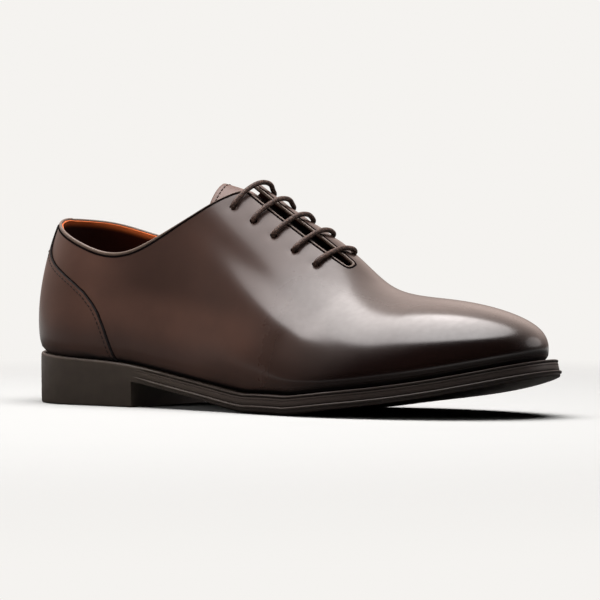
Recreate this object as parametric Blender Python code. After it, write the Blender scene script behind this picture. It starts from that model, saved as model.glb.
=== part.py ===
"""A wholecut oxford shoe for the right foot, standing on its heel and forefoot.

The upper is one hollow wall lofted through sections of the last. Sole, welt, heel, insole,
tongue, heel counter and lace bars are worked out from the same sections, so they follow it.

Lengths are in metres. The last's own frame has +X from heel to toe, +Y to the inner (medial)
side of the foot and +Z up from the floor, with x = 0 at the back of the upper's lower edge.
"""

import math
from collections import namedtuple

import bmesh
import bpy
import numpy as np

MM = 0.001

# Driving sizes of the last and the shoe
LENGTH = 297 * MM  # the upper's lower edge (the feather line), heel to toe
BALL_WIDTH = 93 * MM  # the same edge across the ball of the foot
INSTEP_HEIGHT = 112 * MM  # top of the lacing over the floor
HEEL_HEIGHT = 19 * MM  # heel block at its back
TOE_SPRING = 17 * MM  # lift of the sole's tip over the floor

# Thicknesses and clearances
WALL = 2.0 * MM  # upper leather and lining together
WELT = 5.2 * MM
INSOLE = 2.5 * MM
TONGUE = 1.8 * MM
COUNTER = 0.9 * MM
COUNTER_GAP = 0.4 * MM
GAP = 0.3 * MM  # between pieces that lie on each other

# Sections of the last. along is a share of LENGTH. lateral and medial are the half-widths of the
# lower edge, ridge the sideways place of the crest and crown the length over which the top stays
# flat, as shares of BALL_WIDTH. crest is the height of the section's top over the floor as a share
# of INSTEP_HEIGHT; behind the lacing it is the top of the last's cone, above the collar. wall says
# how far the section climbs straight up, as a share of its height. tilt is the top's rise towards the
# inner side for each unit across, so the instep's ridge lies inside the crest line. bulge is in metres.
Section = namedtuple("Section", "along lateral medial ridge crest wall crown tilt bulge")
BACK = Section(0.00, 0.000, 0.000, 0.000, 1.34, 0.36, 0.06, 0.0, 14.5 * MM)
SECTIONS = (
    Section(0.14, 0.360, 0.345, 0.000, 1.340, 0.380, 0.150, 0.00, 3.0 * MM),
    Section(0.26, 0.366, 0.325, 0.000, 1.290, 0.440, 0.180, 0.15, 2.5 * MM),
    Section(0.38, 0.392, 0.298, -0.008, 1.100, 0.490, 0.240, 0.48, 2.0 * MM),
    Section(0.50, 0.446, 0.318, 0.000, 0.885, 0.375, 0.320, 0.52, 7.5 * MM),
    Section(0.60, 0.505, 0.385, 0.018, 0.710, 0.380, 0.340, 0.48, 4.5 * MM),
    Section(0.68, 0.535, 0.452, 0.050, 0.574, 0.545, 0.270, 0.10, 0.0 * MM),
    Section(0.74, 0.522, 0.474, 0.045, 0.526, 0.583, 0.252, 0.02, 0.0 * MM),
    Section(0.80, 0.480, 0.458, 0.045, 0.508, 0.592, 0.271, 0.00, 0.0 * MM),
)
HEEL_CENTRE, TOE_START = SECTIONS[0].along, SECTIONS[-1].along
TOP_COLUMNS = ("crest", "wall", "crown", "tilt", "bulge")

# Roundness of the plan at the heel and the toe, and of the toe's profile: the two powers of a
# superellipse, along the shoe and across it.
HEEL_ROUND = (2.3, 2.0)
TOE_ROUND = (2.5, 2.0)
TOE_PROFILE_ROUND = 3.2

# How far over the half-width the crown can reach, and how softly it is held there
CROWN_LIMIT = 0.95
CROWN_SOFT = 0.06

# The lower edge turns in under the upper where it meets the welt.
TUCK = 1.4 * MM
TUCK_HEIGHT = 8 * MM

# The sole from the side: lift of its underside over the floor, as shares of HEEL_HEIGHT behind the
# ball and of TOE_SPRING in front of it; the outsole's thickness, greater under the ball; and how far
# the sole's edge reaches past the upper's lower edge on each side.
SoleRow = namedtuple("SoleRow", "along heel_share spring_share outsole reach_lateral reach_medial")
SOLE_ROWS = (
    SoleRow(0.00, 1.00, 0.00, 2.8 * MM, 1.5 * MM, 1.5 * MM),
    SoleRow(0.13, 0.85, 0.00, 2.8 * MM, 1.8 * MM, 1.8 * MM),
    SoleRow(0.25, 0.72, 0.00, 2.8 * MM, 1.8 * MM, 1.5 * MM),
    SoleRow(0.33, 0.52, 0.00, 2.8 * MM, 1.8 * MM, 0.5 * MM),
    SoleRow(0.44, 0.235, 0.00, 3.0 * MM, 2.8 * MM, 1.0 * MM),
    SoleRow(0.515, 0.02, 0.00, 4.0 * MM, 3.8 * MM, 2.5 * MM),
    SoleRow(0.60, 0.00, -0.03, 4.2 * MM, 4.4 * MM, 3.8 * MM),
    SoleRow(0.69, 0.00, 0.17, 3.4 * MM, 4.4 * MM, 4.4 * MM),
    SoleRow(0.79, 0.00, 0.40, 2.9 * MM, 4.6 * MM, 4.6 * MM),
    SoleRow(0.90, 0.00, 0.72, 2.8 * MM, 4.8 * MM, 4.8 * MM),
    SoleRow(1.00, 0.00, 1.12, 2.8 * MM, 5.0 * MM, 5.0 * MM),
)

# The sole's edge, top to bottom: how far each corner stands out past the welt's lower corner, and
# how far it lies below the top of its piece. The outsole's rib fades out over the heel. Its underside
# is drawn in where it is thicker than the edge.
EdgeRow = namedtuple("EdgeRow", "out drop")
WELT_EDGE = (EdgeRow(-1.6 * MM, 0.0), EdgeRow(-0.8 * MM, 0.5 * MM), EdgeRow(-0.7 * MM, 1.3 * MM),
             EdgeRow(-1.1 * MM, 1.6 * MM), EdgeRow(0.0, WELT))
OUTSOLE_EDGE = (EdgeRow(0.0, 0.0), EdgeRow(0.9 * MM, 0.4 * MM), EdgeRow(0.9 * MM, 1.2 * MM),
                EdgeRow(0.2 * MM, 1.6 * MM), EdgeRow(0.2 * MM, 2.7 * MM))
OUTSOLE_DRAW_IN = 1.6  # for each unit of thickness past the edge
RIB_START = 0.06  # length over which the rib rises in front of the heel, share of LENGTH
FOREFOOT_FLAT = (0.53, 0.61)  # where the forefoot rests on the floor, shares of LENGTH
WELT_WIDTH = 13 * MM

# Heel block
HEEL_BREAST = 0.263  # its front face, share of LENGTH
HEEL_TAPER = 0.2 * MM
HEEL_BEVEL = 0.8 * MM

# The collar's rim from the side, as shares of LENGTH and of INSTEP_HEIGHT. It sinks below the
# ankle, lower on the outer side, and climbs to the top of the lacing.
CollarRow = namedtuple("CollarRow", "along lateral medial")
COLLAR_ROWS = (
    CollarRow(0.035, 0.862, 0.862),
    CollarRow(0.070, 0.815, 0.848),
    CollarRow(0.115, 0.763, 0.818),
    CollarRow(0.155, 0.724, 0.790),
    CollarRow(0.190, 0.703, 0.772),
    CollarRow(0.245, 0.7125, 0.778),
    CollarRow(0.290, 0.761, 0.818),
    CollarRow(0.370, 0.888, 0.918),
    CollarRow(0.420, 0.979, 0.990),
    CollarRow(0.470, 1.060, 1.070),
)

# The throat's slit: half-widths at the top of the lacing and near its rounded end
THROAT_END = 0.633
THROAT_TOP = 0.40
THROAT_HALF_TOP = 2.7 * MM
THROAT_HALF_END = 1.5 * MM
THROAT_ROUND = 2.5 * MM
FACING_CORNER = 0.10  # rounding where collar and slit meet, share of the section's climb

# Lacing
EYELET_ROWS = 5
EYELET_FIRST = 0.429  # the top row, share of LENGTH
EYELET_LAST = 0.593
EYELET_SKEW = 0.018  # how much further to the toe the inner holes sit, share of LENGTH
EYELET_INSET = 11.2 * MM  # from the slit's edge
EYELET_RADIUS = 2.2 * MM
LACE_RADIUS = 1.3 * MM
LACE_ARCH = 1.6 * MM  # how far the top bar stands over the leather; the bottom one lies on it
LACE_PEAK = 0.6  # where it stands highest, share of its reach towards the inner side
LACE_BEND = 0.87  # where a bar turns down to its hole, share of its reach

# Tongue
TONGUE_FRONT = 0.67
TONGUE_TOP = 0.380
TONGUE_ROUND = 9 * MM  # length of its rounded top
TONGUE_END = 0.8  # width left at the very top, share of the whole
TONGUE_HALF = 21 * MM
TONGUE_LACE_ROOM = 3.3 * MM  # space for the lace's hidden runs under the facings
TONGUE_LEAN = 6.5 * MM  # how far its top leans into the collar

# The heel counter's top edge: a narrow strip up to the collar that flares towards the sole. reach is
# the distance round the heel from the back, height a share of the wall's climb to its rim.
CounterRow = namedtuple("CounterRow", "reach height")
COUNTER_ROWS = (
    CounterRow(0 * MM, 0.975),
    CounterRow(6 * MM, 0.975),
    CounterRow(12 * MM, 0.975),
    CounterRow(16.5 * MM, 0.975),
    CounterRow(17.5 * MM, 0.91),
    CounterRow(19.5 * MM, 0.855),
    CounterRow(23 * MM, 0.812),
    CounterRow(29 * MM, 0.773),
    CounterRow(37 * MM, 0.738),
    CounterRow(46 * MM, 0.705),
    CounterRow(55 * MM, 0.665),
    CounterRow(63 * MM, 0.61),
    CounterRow(69 * MM, 0.53),
    CounterRow(73 * MM, 0.45),
    CounterRow(77 * MM, 0.32),
    CounterRow(80.5 * MM, 0.18),
    CounterRow(83.5 * MM, 0.06),
)
COUNTER_FOOT = 0.03

# Mesh density: stations round the heel, along the body and round the toe, and steps up the wall
HEEL_STEPS = 8
TOE_STEPS = 10
WALL_STEPS = 12
WALL_CROWDING = 1.15  # power that sets the steps closer near the sole
LATERAL, MEDIAL = -1, 1
FORWARD = np.array((1.0, 0.0, 0.0))


def spline(rows, column, start_slope=None):
    """The smooth curve of a column over a table's first column, straight beyond its ends."""
    xs = np.array([row[0] for row in rows])
    ys = np.array([getattr(row, column) for row in rows])
    steps = np.diff(xs)
    rises = np.diff(ys) / steps
    size = len(xs)
    system = np.zeros((size, size))
    target = np.zeros(size)
    for i in range(1, size - 1):
        before, after = 1 / steps[i - 1], 1 / steps[i]
        system[i, i - 1 : i + 2] = before, 2 * (before + after), after
        target[i] = 3 * (rises[i - 1] * before + rises[i] * after)
    system[0, :2], target[0] = (2, 1), 3 * rises[0]
    system[-1, -2:], target[-1] = (1, 2), 3 * rises[-1]
    if start_slope is not None:
        system[0, :2], target[0] = (1, 0), start_slope
    slopes = np.linalg.solve(system, target)

    def value(x):
        i = int(np.clip(np.searchsorted(xs, x) - 1, 0, size - 2))
        if x <= xs[0]:
            return ys[0] + slopes[0] * (x - xs[0])
        if x >= xs[-1]:
            return ys[-1] + slopes[-1] * (x - xs[-1])
        u, h = (x - xs[i]) / steps[i], steps[i]
        return (
            ys[i] * (1 + 2 * u) * (1 - u) ** 2
            + ys[i + 1] * u * u * (3 - 2 * u)
            + h * slopes[i] * u * (1 - u) ** 2
            - h * slopes[i + 1] * u * u * (1 - u)
        )

    return value


LAST = {
    column: spline(SECTIONS, column, 0.0 if column in ("lateral", "medial", "ridge") else None)
    for column in Section._fields[1:]
}
SOLE = {column: spline(SOLE_ROWS, column) for column in SoleRow._fields[1:]}
COLLAR = {LATERAL: spline(COLLAR_ROWS, "lateral"), MEDIAL: spline(COLLAR_ROWS, "medial")}


def sole_lift(x):
    """Height of the outsole's underside over the floor."""
    along = x / LENGTH
    lift = HEEL_HEIGHT * SOLE["heel_share"](along) + TOE_SPRING * SOLE["spring_share"](along)
    return max(lift, 0.0)


def outsole_thickness(x):
    return SOLE["outsole"](x / LENGTH)


def seat(x):
    """Height of the upper's lower edge."""
    return sole_lift(x) + outsole_thickness(x) + WELT + 2 * GAP


# A station is a place along the wall: 0 to 1 goes round the heel, 1 to 2 along the body and
# 2 to 3 round the toe.
def body_station(along):
    return 1 + (along - HEEL_CENTRE) / (TOE_START - HEEL_CENTRE)


def edge_point(w, side):
    """Plan place of the upper's widest line at a station, and the middle that its section leans to."""
    widths = LAST["lateral"] if side == LATERAL else LAST["medial"]
    if w <= 1:
        turn = w * math.pi / 2
        along = HEEL_CENTRE * (1 - math.cos(turn) ** (2 / HEEL_ROUND[0]))
        across = side * widths(HEEL_CENTRE) * math.sin(turn) ** (2 / HEEL_ROUND[1])
        return np.array((along * LENGTH, across * BALL_WIDTH)), np.array((HEEL_CENTRE * LENGTH, 0.0))
    if w <= 2:
        along, closing = HEEL_CENTRE + (w - 1) * (TOE_START - HEEL_CENTRE), 1.0
    else:
        turn = min(w - 2, 1) * math.pi / 2
        along = TOE_START + (1 - TOE_START) * math.sin(turn) ** (2 / TOE_ROUND[0])
        closing = max(math.cos(turn), 0.0) ** (2 / TOE_ROUND[1])
    ridge = LAST["ridge"](along)
    across = ridge + closing * (side * widths(along) - ridge)
    return np.array((along, across)) * (LENGTH, BALL_WIDTH), np.array((along, ridge)) * (LENGTH, BALL_WIDTH)


def edge_normal(w, side):
    """Outward direction of the plan outline at a station."""
    step = 1e-3
    before, after = max(w - step, 0.0), min(w + step, 3.0)
    dx, dy = edge_point(after, side)[0] - edge_point(before, side)[0]
    normal = np.array((-dy, dx)) * side
    if w < step:
        normal = np.array((-1.0, 0.0))
    if w > 3 - step:
        normal = np.array((1.0, 0.0))
    return normal / np.linalg.norm(normal)


def soft_limit(share):
    """Holds a share of the half-width under CROWN_LIMIT, without a kink."""
    over = share - CROWN_LIMIT
    return share - (over + math.hypot(over, CROWN_SOFT)) / 2


def section_controls(w, side):
    """The four control points of a section's curve, from the lower edge to the crest."""
    foot, middle = edge_point(w, side)
    along = foot[0] / LENGTH
    if w <= 1:
        turned = math.sin(w * math.pi / 2) ** 2
        crest, wall, crown, tilt, bulge = (
            getattr(BACK, name) * (1 - turned) + getattr(SECTIONS[0], name) * turned for name in TOP_COLUMNS
        )
    else:
        crest, wall, crown, tilt, bulge = (LAST[name](along) for name in TOP_COLUMNS)
    low = seat(foot[0])
    climb = crest * INSTEP_HEIGHT - low
    half = np.linalg.norm(foot - middle)
    crown_share = soft_limit(crown * BALL_WIDTH / half) if half else 0.0
    if w > 2:
        closing = max(math.cos(min(w - 2, 1) * math.pi / 2), 0.0)
        climb *= closing ** (2 / TOE_PROFILE_ROUND)
        crown_share = soft_limit(crown * BALL_WIDTH / np.linalg.norm(np.subtract(*edge_point(2, side))))
        tilt = bulge = 0.0
    outward = edge_normal(w, side)
    crown_rise = side * tilt * crown_share * half
    return np.array((
        (*foot, low),
        (*(foot + bulge * outward), low + wall * climb),
        (*(middle + crown_share * (foot - middle)), low + climb + crown_rise),
        (*middle, low + climb),
    ))


def section_points(w, side, t):
    """Points of the upper's outer face at a station, at shares t of its section's curve."""
    t = np.atleast_1d(t)[:, None]
    a, b, c, d = section_controls(w, side)
    points = a * (1 - t) ** 3 + 3 * b * t * (1 - t) ** 2 + 3 * c * t * t * (1 - t) + d * t**3
    rise = np.clip(1 - (points[:, 2:] - a[2]) / TUCK_HEIGHT, 0, 1)
    forward = t if w > 2 else 0 * t
    points[:, :2] -= TUCK * rise**2 * ((1 - forward) * edge_normal(w, side) + forward * FORWARD[:2])
    return points


def section_normals(w, side, t):
    """Outward directions of the outer face, from small steps along and up the wall."""
    step = 1e-4
    w = min(max(w, step), 3 - 200 * step)
    t = np.clip(np.atleast_1d(t), step, 1 - step)
    along = section_points(w + step, side, t) - section_points(w - step, side, t)
    up = section_points(w, side, t + step) - section_points(w, side, t - step)
    normals = np.cross(along, up) * -side
    return normals / np.linalg.norm(normals, axis=1)[:, None]


def share_where(values, target):
    """The first share of a rising list of values at which it reaches the target, or 1."""
    shares = np.linspace(0, 1, len(values))
    if values[-1] <= target:
        return 1.0
    return float(np.interp(target, np.maximum.accumulate(values), shares))


def throat_half(along):
    """Half-width of the slit."""
    if along >= THROAT_END:
        return 0.0
    share = (THROAT_END - along) / (THROAT_END - THROAT_TOP)
    width = THROAT_HALF_END + (THROAT_HALF_TOP - THROAT_HALF_END) * share
    left = (THROAT_END - along) * LENGTH / THROAT_ROUND
    return width * math.sqrt(1 - (1 - min(left, 1)) ** 2)


def share_beside_crest(w, side, distance):
    """Where a section comes within a distance of the line along its crest."""
    curve = section_points(w, side, np.linspace(0, 1, 200))
    inward = -np.abs(curve[:, 1] - curve[-1, 1])
    return share_where(inward, -distance)


def rim_share(w, side):
    """Where the wall ends at a station: at the collar, at the slit, or at the crest."""
    along = edge_point(w, side)[0][0] / LENGTH
    if along >= THROAT_END:
        return 1.0
    curve = section_points(w, side, np.linspace(0, 1, 200))
    rims = [COLLAR[side]] if w else COLLAR.values()  # both sides meet at the back
    over = [z / INSTEP_HEIGHT - np.mean([rim(x / LENGTH) for rim in rims]) for x, _, z in curve]
    collar = share_where(np.array(over), 0.0)
    if along < THROAT_TOP - FACING_CORNER:
        return collar
    slit = share_beside_crest(w, side, throat_half(along))
    near = max(FACING_CORNER - abs(collar - slit), 0) / FACING_CORNER
    return min(collar, slit) - near * near * FACING_CORNER / 4


def upper_stations():
    heel = np.linspace(0, 1, HEEL_STEPS + 1)[:-1]
    body_shares = np.concatenate((
        np.linspace(HEEL_CENTRE, THROAT_TOP - 0.02, 8)[:-1],
        np.linspace(THROAT_TOP - 0.02, THROAT_TOP + 0.06, 8)[:-1],
        np.linspace(THROAT_TOP + 0.06, THROAT_END - 0.02, 7)[:-1],
        np.linspace(THROAT_END - 0.02, THROAT_END, 4)[:-1],
        np.linspace(THROAT_END, TOE_START, 5)[:-1],
    ))
    toe = np.linspace(2, 3, TOE_STEPS + 1)
    return np.concatenate((heel, [body_station(a) for a in body_shares], toe))


class Mesh:
    """Collects points and faces, and makes them one closed object."""

    def __init__(self):
        self.points = []
        self.faces = []

    def grid(self, points):
        """Adds a sheet of rows of points, and returns their numbers in the same shape."""
        points = np.asarray(points)
        rows, columns = points.shape[:2]
        numbers = np.arange(rows * columns).reshape(rows, columns) + len(self.points)
        self.points.extend(points.reshape(-1, 3))
        for i in range(rows - 1):
            self.strip(numbers[i], numbers[i + 1])
        return numbers

    def strip(self, first, second):
        """Adds the faces between two rows of point numbers."""
        for j in range(len(first) - 1):
            self.faces.append((first[j], first[j + 1], second[j + 1], second[j]))

    def object(self, name, material):
        mesh = bpy.data.meshes.new(name)
        mesh.from_pydata([tuple(p) for p in self.points], [], [[int(i) for i in f] for f in self.faces])
        work = bmesh.new()
        work.from_mesh(mesh)
        bmesh.ops.remove_doubles(work, verts=work.verts, dist=1e-5)
        bmesh.ops.dissolve_degenerate(work, edges=work.edges, dist=1e-7)
        bmesh.ops.recalc_face_normals(work, faces=work.faces)
        work.to_mesh(mesh)
        work.free()
        mesh.shade_smooth()
        mesh.set_sharp_from_angle(angle=math.radians(40))
        return add_object(name, mesh, material)


def add_object(name, data, material):
    made = bpy.data.objects.new(name, data)
    bpy.context.scene.collection.objects.link(made)
    if material is not None:
        data.materials.append(material)
    return made


def material(name, colour, roughness):
    made = bpy.data.materials.new(name)
    made.use_nodes = True
    shader = made.node_tree.nodes["Principled BSDF"]
    shader.inputs["Base Color"].default_value = (*colour, 1)
    shader.inputs["Roughness"].default_value = roughness
    return made


def make_upper(leather):
    """The hollow wall: outer and inner faces of both sides, joined at the rims."""
    stations = upper_stations()
    rim_end = int(np.argmin([abs(w - body_station(THROAT_END)) for w in stations])) + 1
    mesh = Mesh()
    for side in (LATERAL, MEDIAL):
        outer, inner = [], []
        for w in stations:
            t = np.linspace(0, 1, WALL_STEPS + 1) ** WALL_CROWDING * rim_share(w, side)
            face = section_points(w, side, t)
            outer.append(face)
            inner.append(face - WALL * (section_normals(w, side, t) if w < 3 else FORWARD))
        outside, inside = mesh.grid(outer), mesh.grid(inner)
        mesh.strip(outside[:, 0], inside[:, 0])
        mesh.strip(outside[:rim_end, -1], inside[:rim_end, -1])
    return mesh.object("upper", leather)


def outline(reach):
    """Rows of plan points round the last, one for each station: lateral and medial, set outwards by
    reach(along, side)."""
    rows = []
    for w in sole_stations():
        pair = []
        for side in (LATERAL, MEDIAL):
            foot = edge_point(w, side)[0]
            pair.append(foot + reach(foot[0] / LENGTH, side) * edge_normal(w, side))
        rows.append(pair)
    return np.array(rows)


def sole_stations():
    heel = np.linspace(0, 1, HEEL_STEPS + 1)[:-1]
    breast = body_station(HEEL_BREAST)
    flat_start, flat_end = (body_station(along) for along in FOREFOOT_FLAT)
    body = np.concatenate((
        np.linspace(1, breast, 4)[:-1],
        np.linspace(breast, flat_start, 8)[:-1],
        np.linspace(flat_start, flat_end, 3)[:-1],
        np.linspace(flat_end, 2, 7)[:-1],
    ))
    return np.concatenate((heel, body, np.linspace(2, 3, TOE_STEPS + 1)))


def sole_reach(along, side):
    return SOLE["reach_lateral" if side == LATERAL else "reach_medial"](along)


def rib_fade(along):
    """The outsole's rib starts in front of the heel."""
    return float(np.clip((along - HEEL_BREAST) / RIB_START, 0, 1))


def across(rows, steps):
    """Rows of points from the lateral to the medial side."""
    shares = np.linspace(0, 1, steps + 1)[None, :, None]
    return rows[:, :1] * (1 - shares) + rows[:, 1:] * shares


def raised(plan, height):
    """Plan points set at the height that a function gives for their x."""
    return np.array([[(x, y, height(x)) for x, y in row] for row in plan])


def add_plate(mesh, rings):
    """A plate from rings of points, top to bottom: its edge and its two faces."""
    for side in (0, 1):
        mesh.grid([ring[:, side] for ring in rings])
    mesh.grid(across(rings[0], 4))
    mesh.grid(across(rings[-1], 4))


def make_outsole(rubber):
    def top(x):
        return sole_lift(x) + outsole_thickness(x)

    def underside_reach(along, side):
        extra = max(SOLE["outsole"](along) - OUTSOLE_EDGE[-1].drop, 0)
        return sole_reach(along, side) - OUTSOLE_DRAW_IN * extra * rib_fade(along)

    rings = []
    for row in OUTSOLE_EDGE:
        plan = outline(lambda along, side: sole_reach(along, side) + row.out * rib_fade(along))
        rings.append(raised(plan, lambda x: top(x) - row.drop))
    rings.append(raised(outline(underside_reach), sole_lift))
    mesh = Mesh()
    add_plate(mesh, rings)
    return mesh.object("outsole", rubber)


def make_welt(rubber):
    """A strip round the shoe between outsole and upper, open in the middle."""
    def top(x):
        return seat(x) - GAP

    rings = []
    for row in WELT_EDGE:
        plan = outline(lambda along, side: sole_reach(along, side) + row.out)
        rings.append(raised(plan, lambda x: top(x) - row.drop))
    inner = outline(lambda along, side: -WELT_WIDTH)
    rings += [raised(inner, lambda x: top(x) - WELT), raised(inner, top), rings[0]]
    mesh = Mesh()
    for side in (0, 1):
        mesh.grid([ring[:, side] for ring in rings])
    return mesh.object("welt", rubber)


def make_insole(lining):
    plan = outline(lambda along, side: -(TUCK + WALL + 2 * GAP))
    mesh = Mesh()
    add_plate(mesh, [raised(plan, lambda x: seat(x) + INSOLE), raised(plan, seat)])
    return mesh.object("insole", lining)


def make_heel(rubber):
    """The block under the heel, with its top cut to the sole and its foot flat on the floor."""
    mesh = Mesh()
    count = HEEL_STEPS + 4
    top = outline(sole_reach)[:count]
    foot = outline(lambda along, side: sole_reach(along, side) - HEEL_TAPER)[:count]
    bevel = outline(lambda along, side: sole_reach(along, side) - HEEL_TAPER - HEEL_BEVEL)[:count]
    for plan in (top, foot, bevel):
        plan[-1, :, 0] = HEEL_BREAST * LENGTH
    rings = [
        raised(top, lambda x: sole_lift(x) - GAP),
        raised(foot, lambda x: HEEL_BEVEL),
        raised(bevel, lambda x: 0.0),
    ]
    add_plate(mesh, rings)
    mesh.grid([across(ring, 4)[-1] for ring in rings])
    return mesh.object("heel", rubber)


def station_at(reach, side):
    """The station at a distance round the heel from the back."""
    steps = np.linspace(0, 1.6, 200)
    path = np.array([edge_point(w, side)[0] for w in steps])
    lengths = np.append(0, np.cumsum(np.linalg.norm(np.diff(path, axis=0), axis=1)))
    return float(np.interp(reach, lengths, steps))


def make_counter(leather):
    """The overlay round the heel, laid on the upper's outer face."""
    outer, inner = [], []
    for side, rows in ((LATERAL, COUNTER_ROWS[:0:-1]), (MEDIAL, COUNTER_ROWS)):
        for row in rows:
            w = station_at(row.reach, side)
            t = np.linspace(COUNTER_FOOT, row.height, 9) * rim_share(w, side)
            face, normals = section_points(w, side, t), section_normals(w, side, t)
            inner.append(face + COUNTER_GAP * normals)
            outer.append(face + (COUNTER_GAP + COUNTER) * normals)
    return sheet("heel_counter", outer, inner, leather)


def sheet(name, outer, inner, material):
    """A thin solid between two matching sheets of points."""
    mesh = Mesh()
    over, under = mesh.grid(outer), mesh.grid(inner)
    for first, second in ((over[0], under[0]), (over[-1], under[-1]),
                          (over[:, 0], under[:, 0]), (over[:, -1], under[:, -1])):
        mesh.strip(first, second)
    return mesh.object(name, material)


def beside_crest(along, offset):
    """Point and outward direction of the last's face at a sideways offset from its crest."""
    side = MEDIAL if offset > 0 else LATERAL
    w = body_station(along)
    t = share_beside_crest(w, side, abs(offset))
    return section_points(w, side, t)[0], section_normals(w, side, t)[0]


def make_tongue(leather):
    """Follows the last under the facings, and leans into the collar at its top."""
    outer, inner = [], []
    for along in np.linspace(TONGUE_FRONT, TONGUE_TOP, 18):
        left = (along - TONGUE_TOP) * LENGTH / TONGUE_ROUND
        corner = math.sqrt(1 - (1 - min(left, 1)) ** 2)
        half = TONGUE_HALF * (TONGUE_END + (1 - TONGUE_END) * corner)
        room = float(np.interp(along, (EYELET_LAST, TONGUE_FRONT), (TONGUE_LACE_ROOM, GAP)))
        lean = TONGUE_LEAN * max(EYELET_FIRST - along, 0) / (EYELET_FIRST - TONGUE_TOP)
        row = [beside_crest(along, share * half) for share in np.linspace(-1, 1, 11)]
        back = lean * row[5][1]
        outer.append([point - (WALL + room) * normal - back for point, normal in row])
        inner.append([point - (WALL + room + TONGUE) * normal - back for point, normal in row])
    return sheet("tongue", outer, inner, leather)


def lacing_place(along, share, reach):
    """Point and outward direction on the outer face, from a row's outer hole (-1) to its inner one (1)."""
    return beside_crest(along + EYELET_SKEW * (share + 1) / 2, share * reach)


def eyelet(along, side):
    """Middle of a lace hole on the outer face, and the way out of it."""
    return lacing_place(along, side, throat_half(along) + EYELET_INSET)


def eyelet_alongs():
    return np.linspace(EYELET_FIRST, EYELET_LAST, EYELET_ROWS)


def tube(mesh, path, radius, sides):
    """A closed round bar along a path of points."""
    path = np.asarray(path)
    rings = []
    for i, point in enumerate(path):
        ahead = path[min(i + 1, len(path) - 1)] - path[max(i - 1, 0)]
        ahead /= np.linalg.norm(ahead)
        across_way = np.cross(ahead, FORWARD)
        across_way /= np.linalg.norm(across_way)
        other_way = np.cross(ahead, across_way)
        turns = np.linspace(0, 2 * math.pi, sides + 1)
        rings.append([point + radius * (math.cos(a) * across_way + math.sin(a) * other_way) for a in turns])
    numbers = mesh.grid(rings)
    mesh.faces.append(tuple(numbers[0, :-1]))
    mesh.faces.append(tuple(numbers[-1, :-1]))


def lace_path(along):
    """From under one facing up through its hole, over the throat and down through the other hole."""
    reach = throat_half(along) + EYELET_INSET
    arch = LACE_ARCH * (EYELET_LAST - along) / (EYELET_LAST - EYELET_FIRST)
    path = []
    for share in np.linspace(-LACE_BEND, LACE_BEND, 11):
        point, normal = lacing_place(along, share, reach)
        run = LACE_BEND + (LACE_PEAK if share < LACE_PEAK else -LACE_PEAK)
        lift = LACE_RADIUS + GAP + arch * (1 - ((share - LACE_PEAK) / run) ** 2)
        path.append(point + lift * normal)
    for side, add in ((LATERAL, lambda p: path.insert(0, p)), (MEDIAL, path.append)):
        point, normal = eyelet(along, side)
        for depth in (LACE_RADIUS, -0.5 * WALL, -WALL - GAP):
            add(point + depth * normal)
    return path


def make_laces(cord):
    for i, along in enumerate(eyelet_alongs(), 1):
        mesh = Mesh()
        tube(mesh, lace_path(along), LACE_RADIUS, 8)
        mesh.object(f"lace_bar_{i}", cord)


def punch_eyelets(upper):
    """Cuts the lace holes through the facings."""
    mesh = Mesh()
    for along in eyelet_alongs():
        for side in (LATERAL, MEDIAL):
            point, normal = eyelet(along, side)
            tube(mesh, [point - 3 * WALL * normal, point + 2 * WALL * normal], EYELET_RADIUS, 10)
    punch = mesh.object("eyelet_punch", None)
    punch.hide_render = True
    punch.display_type = "WIRE"
    cut = upper.modifiers.new("eyelets", "BOOLEAN")
    cut.operation = "DIFFERENCE"
    cut.solver = "EXACT"
    cut.object = punch


def centre_on_floor():
    """Hangs every piece on one empty that puts the middle of the shoe's box over the origin."""
    pieces = [o for o in bpy.context.scene.objects if o.type == "MESH"]
    corners = np.array([v.co for o in pieces if not o.hide_render for v in o.data.vertices])
    middle = (corners.min(axis=0) + corners.max(axis=0)) / 2
    shoe = bpy.data.objects.new("shoe", None)
    bpy.context.scene.collection.objects.link(shoe)
    shoe.location = (-middle[0], -middle[1], 0)
    for piece in pieces:
        piece.parent = shoe


def main():
    for old in list(bpy.data.objects):
        bpy.data.objects.remove(old)
    leather = material("brown_leather", (0.055, 0.028, 0.020), 0.35)
    rubber = material("dark_rubber", (0.030, 0.025, 0.021), 0.5)
    lining = material("tan_lining", (0.42, 0.17, 0.06), 0.6)
    cord = material("waxed_cord", (0.10, 0.065, 0.05), 0.6)
    upper = make_upper(leather)
    make_outsole(rubber)
    make_welt(rubber)
    make_insole(lining)
    make_heel(rubber)
    make_counter(leather)
    make_tongue(leather)
    make_laces(cord)
    punch_eyelets(upper)
    centre_on_floor()


main()
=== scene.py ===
"""Looks of the wholecut oxford shoe: leather, lining, seams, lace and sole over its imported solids.

Lengths are in metres. The last's own frame has +X from heel to toe, +Y to the inner (medial) side of
the foot and +Z up from the floor, with x = 0 at the back of the upper's lower edge. Pieces are worked
out in that frame, and PLACE sets them in the part's frame.
"""

import math
from collections import namedtuple

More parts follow.
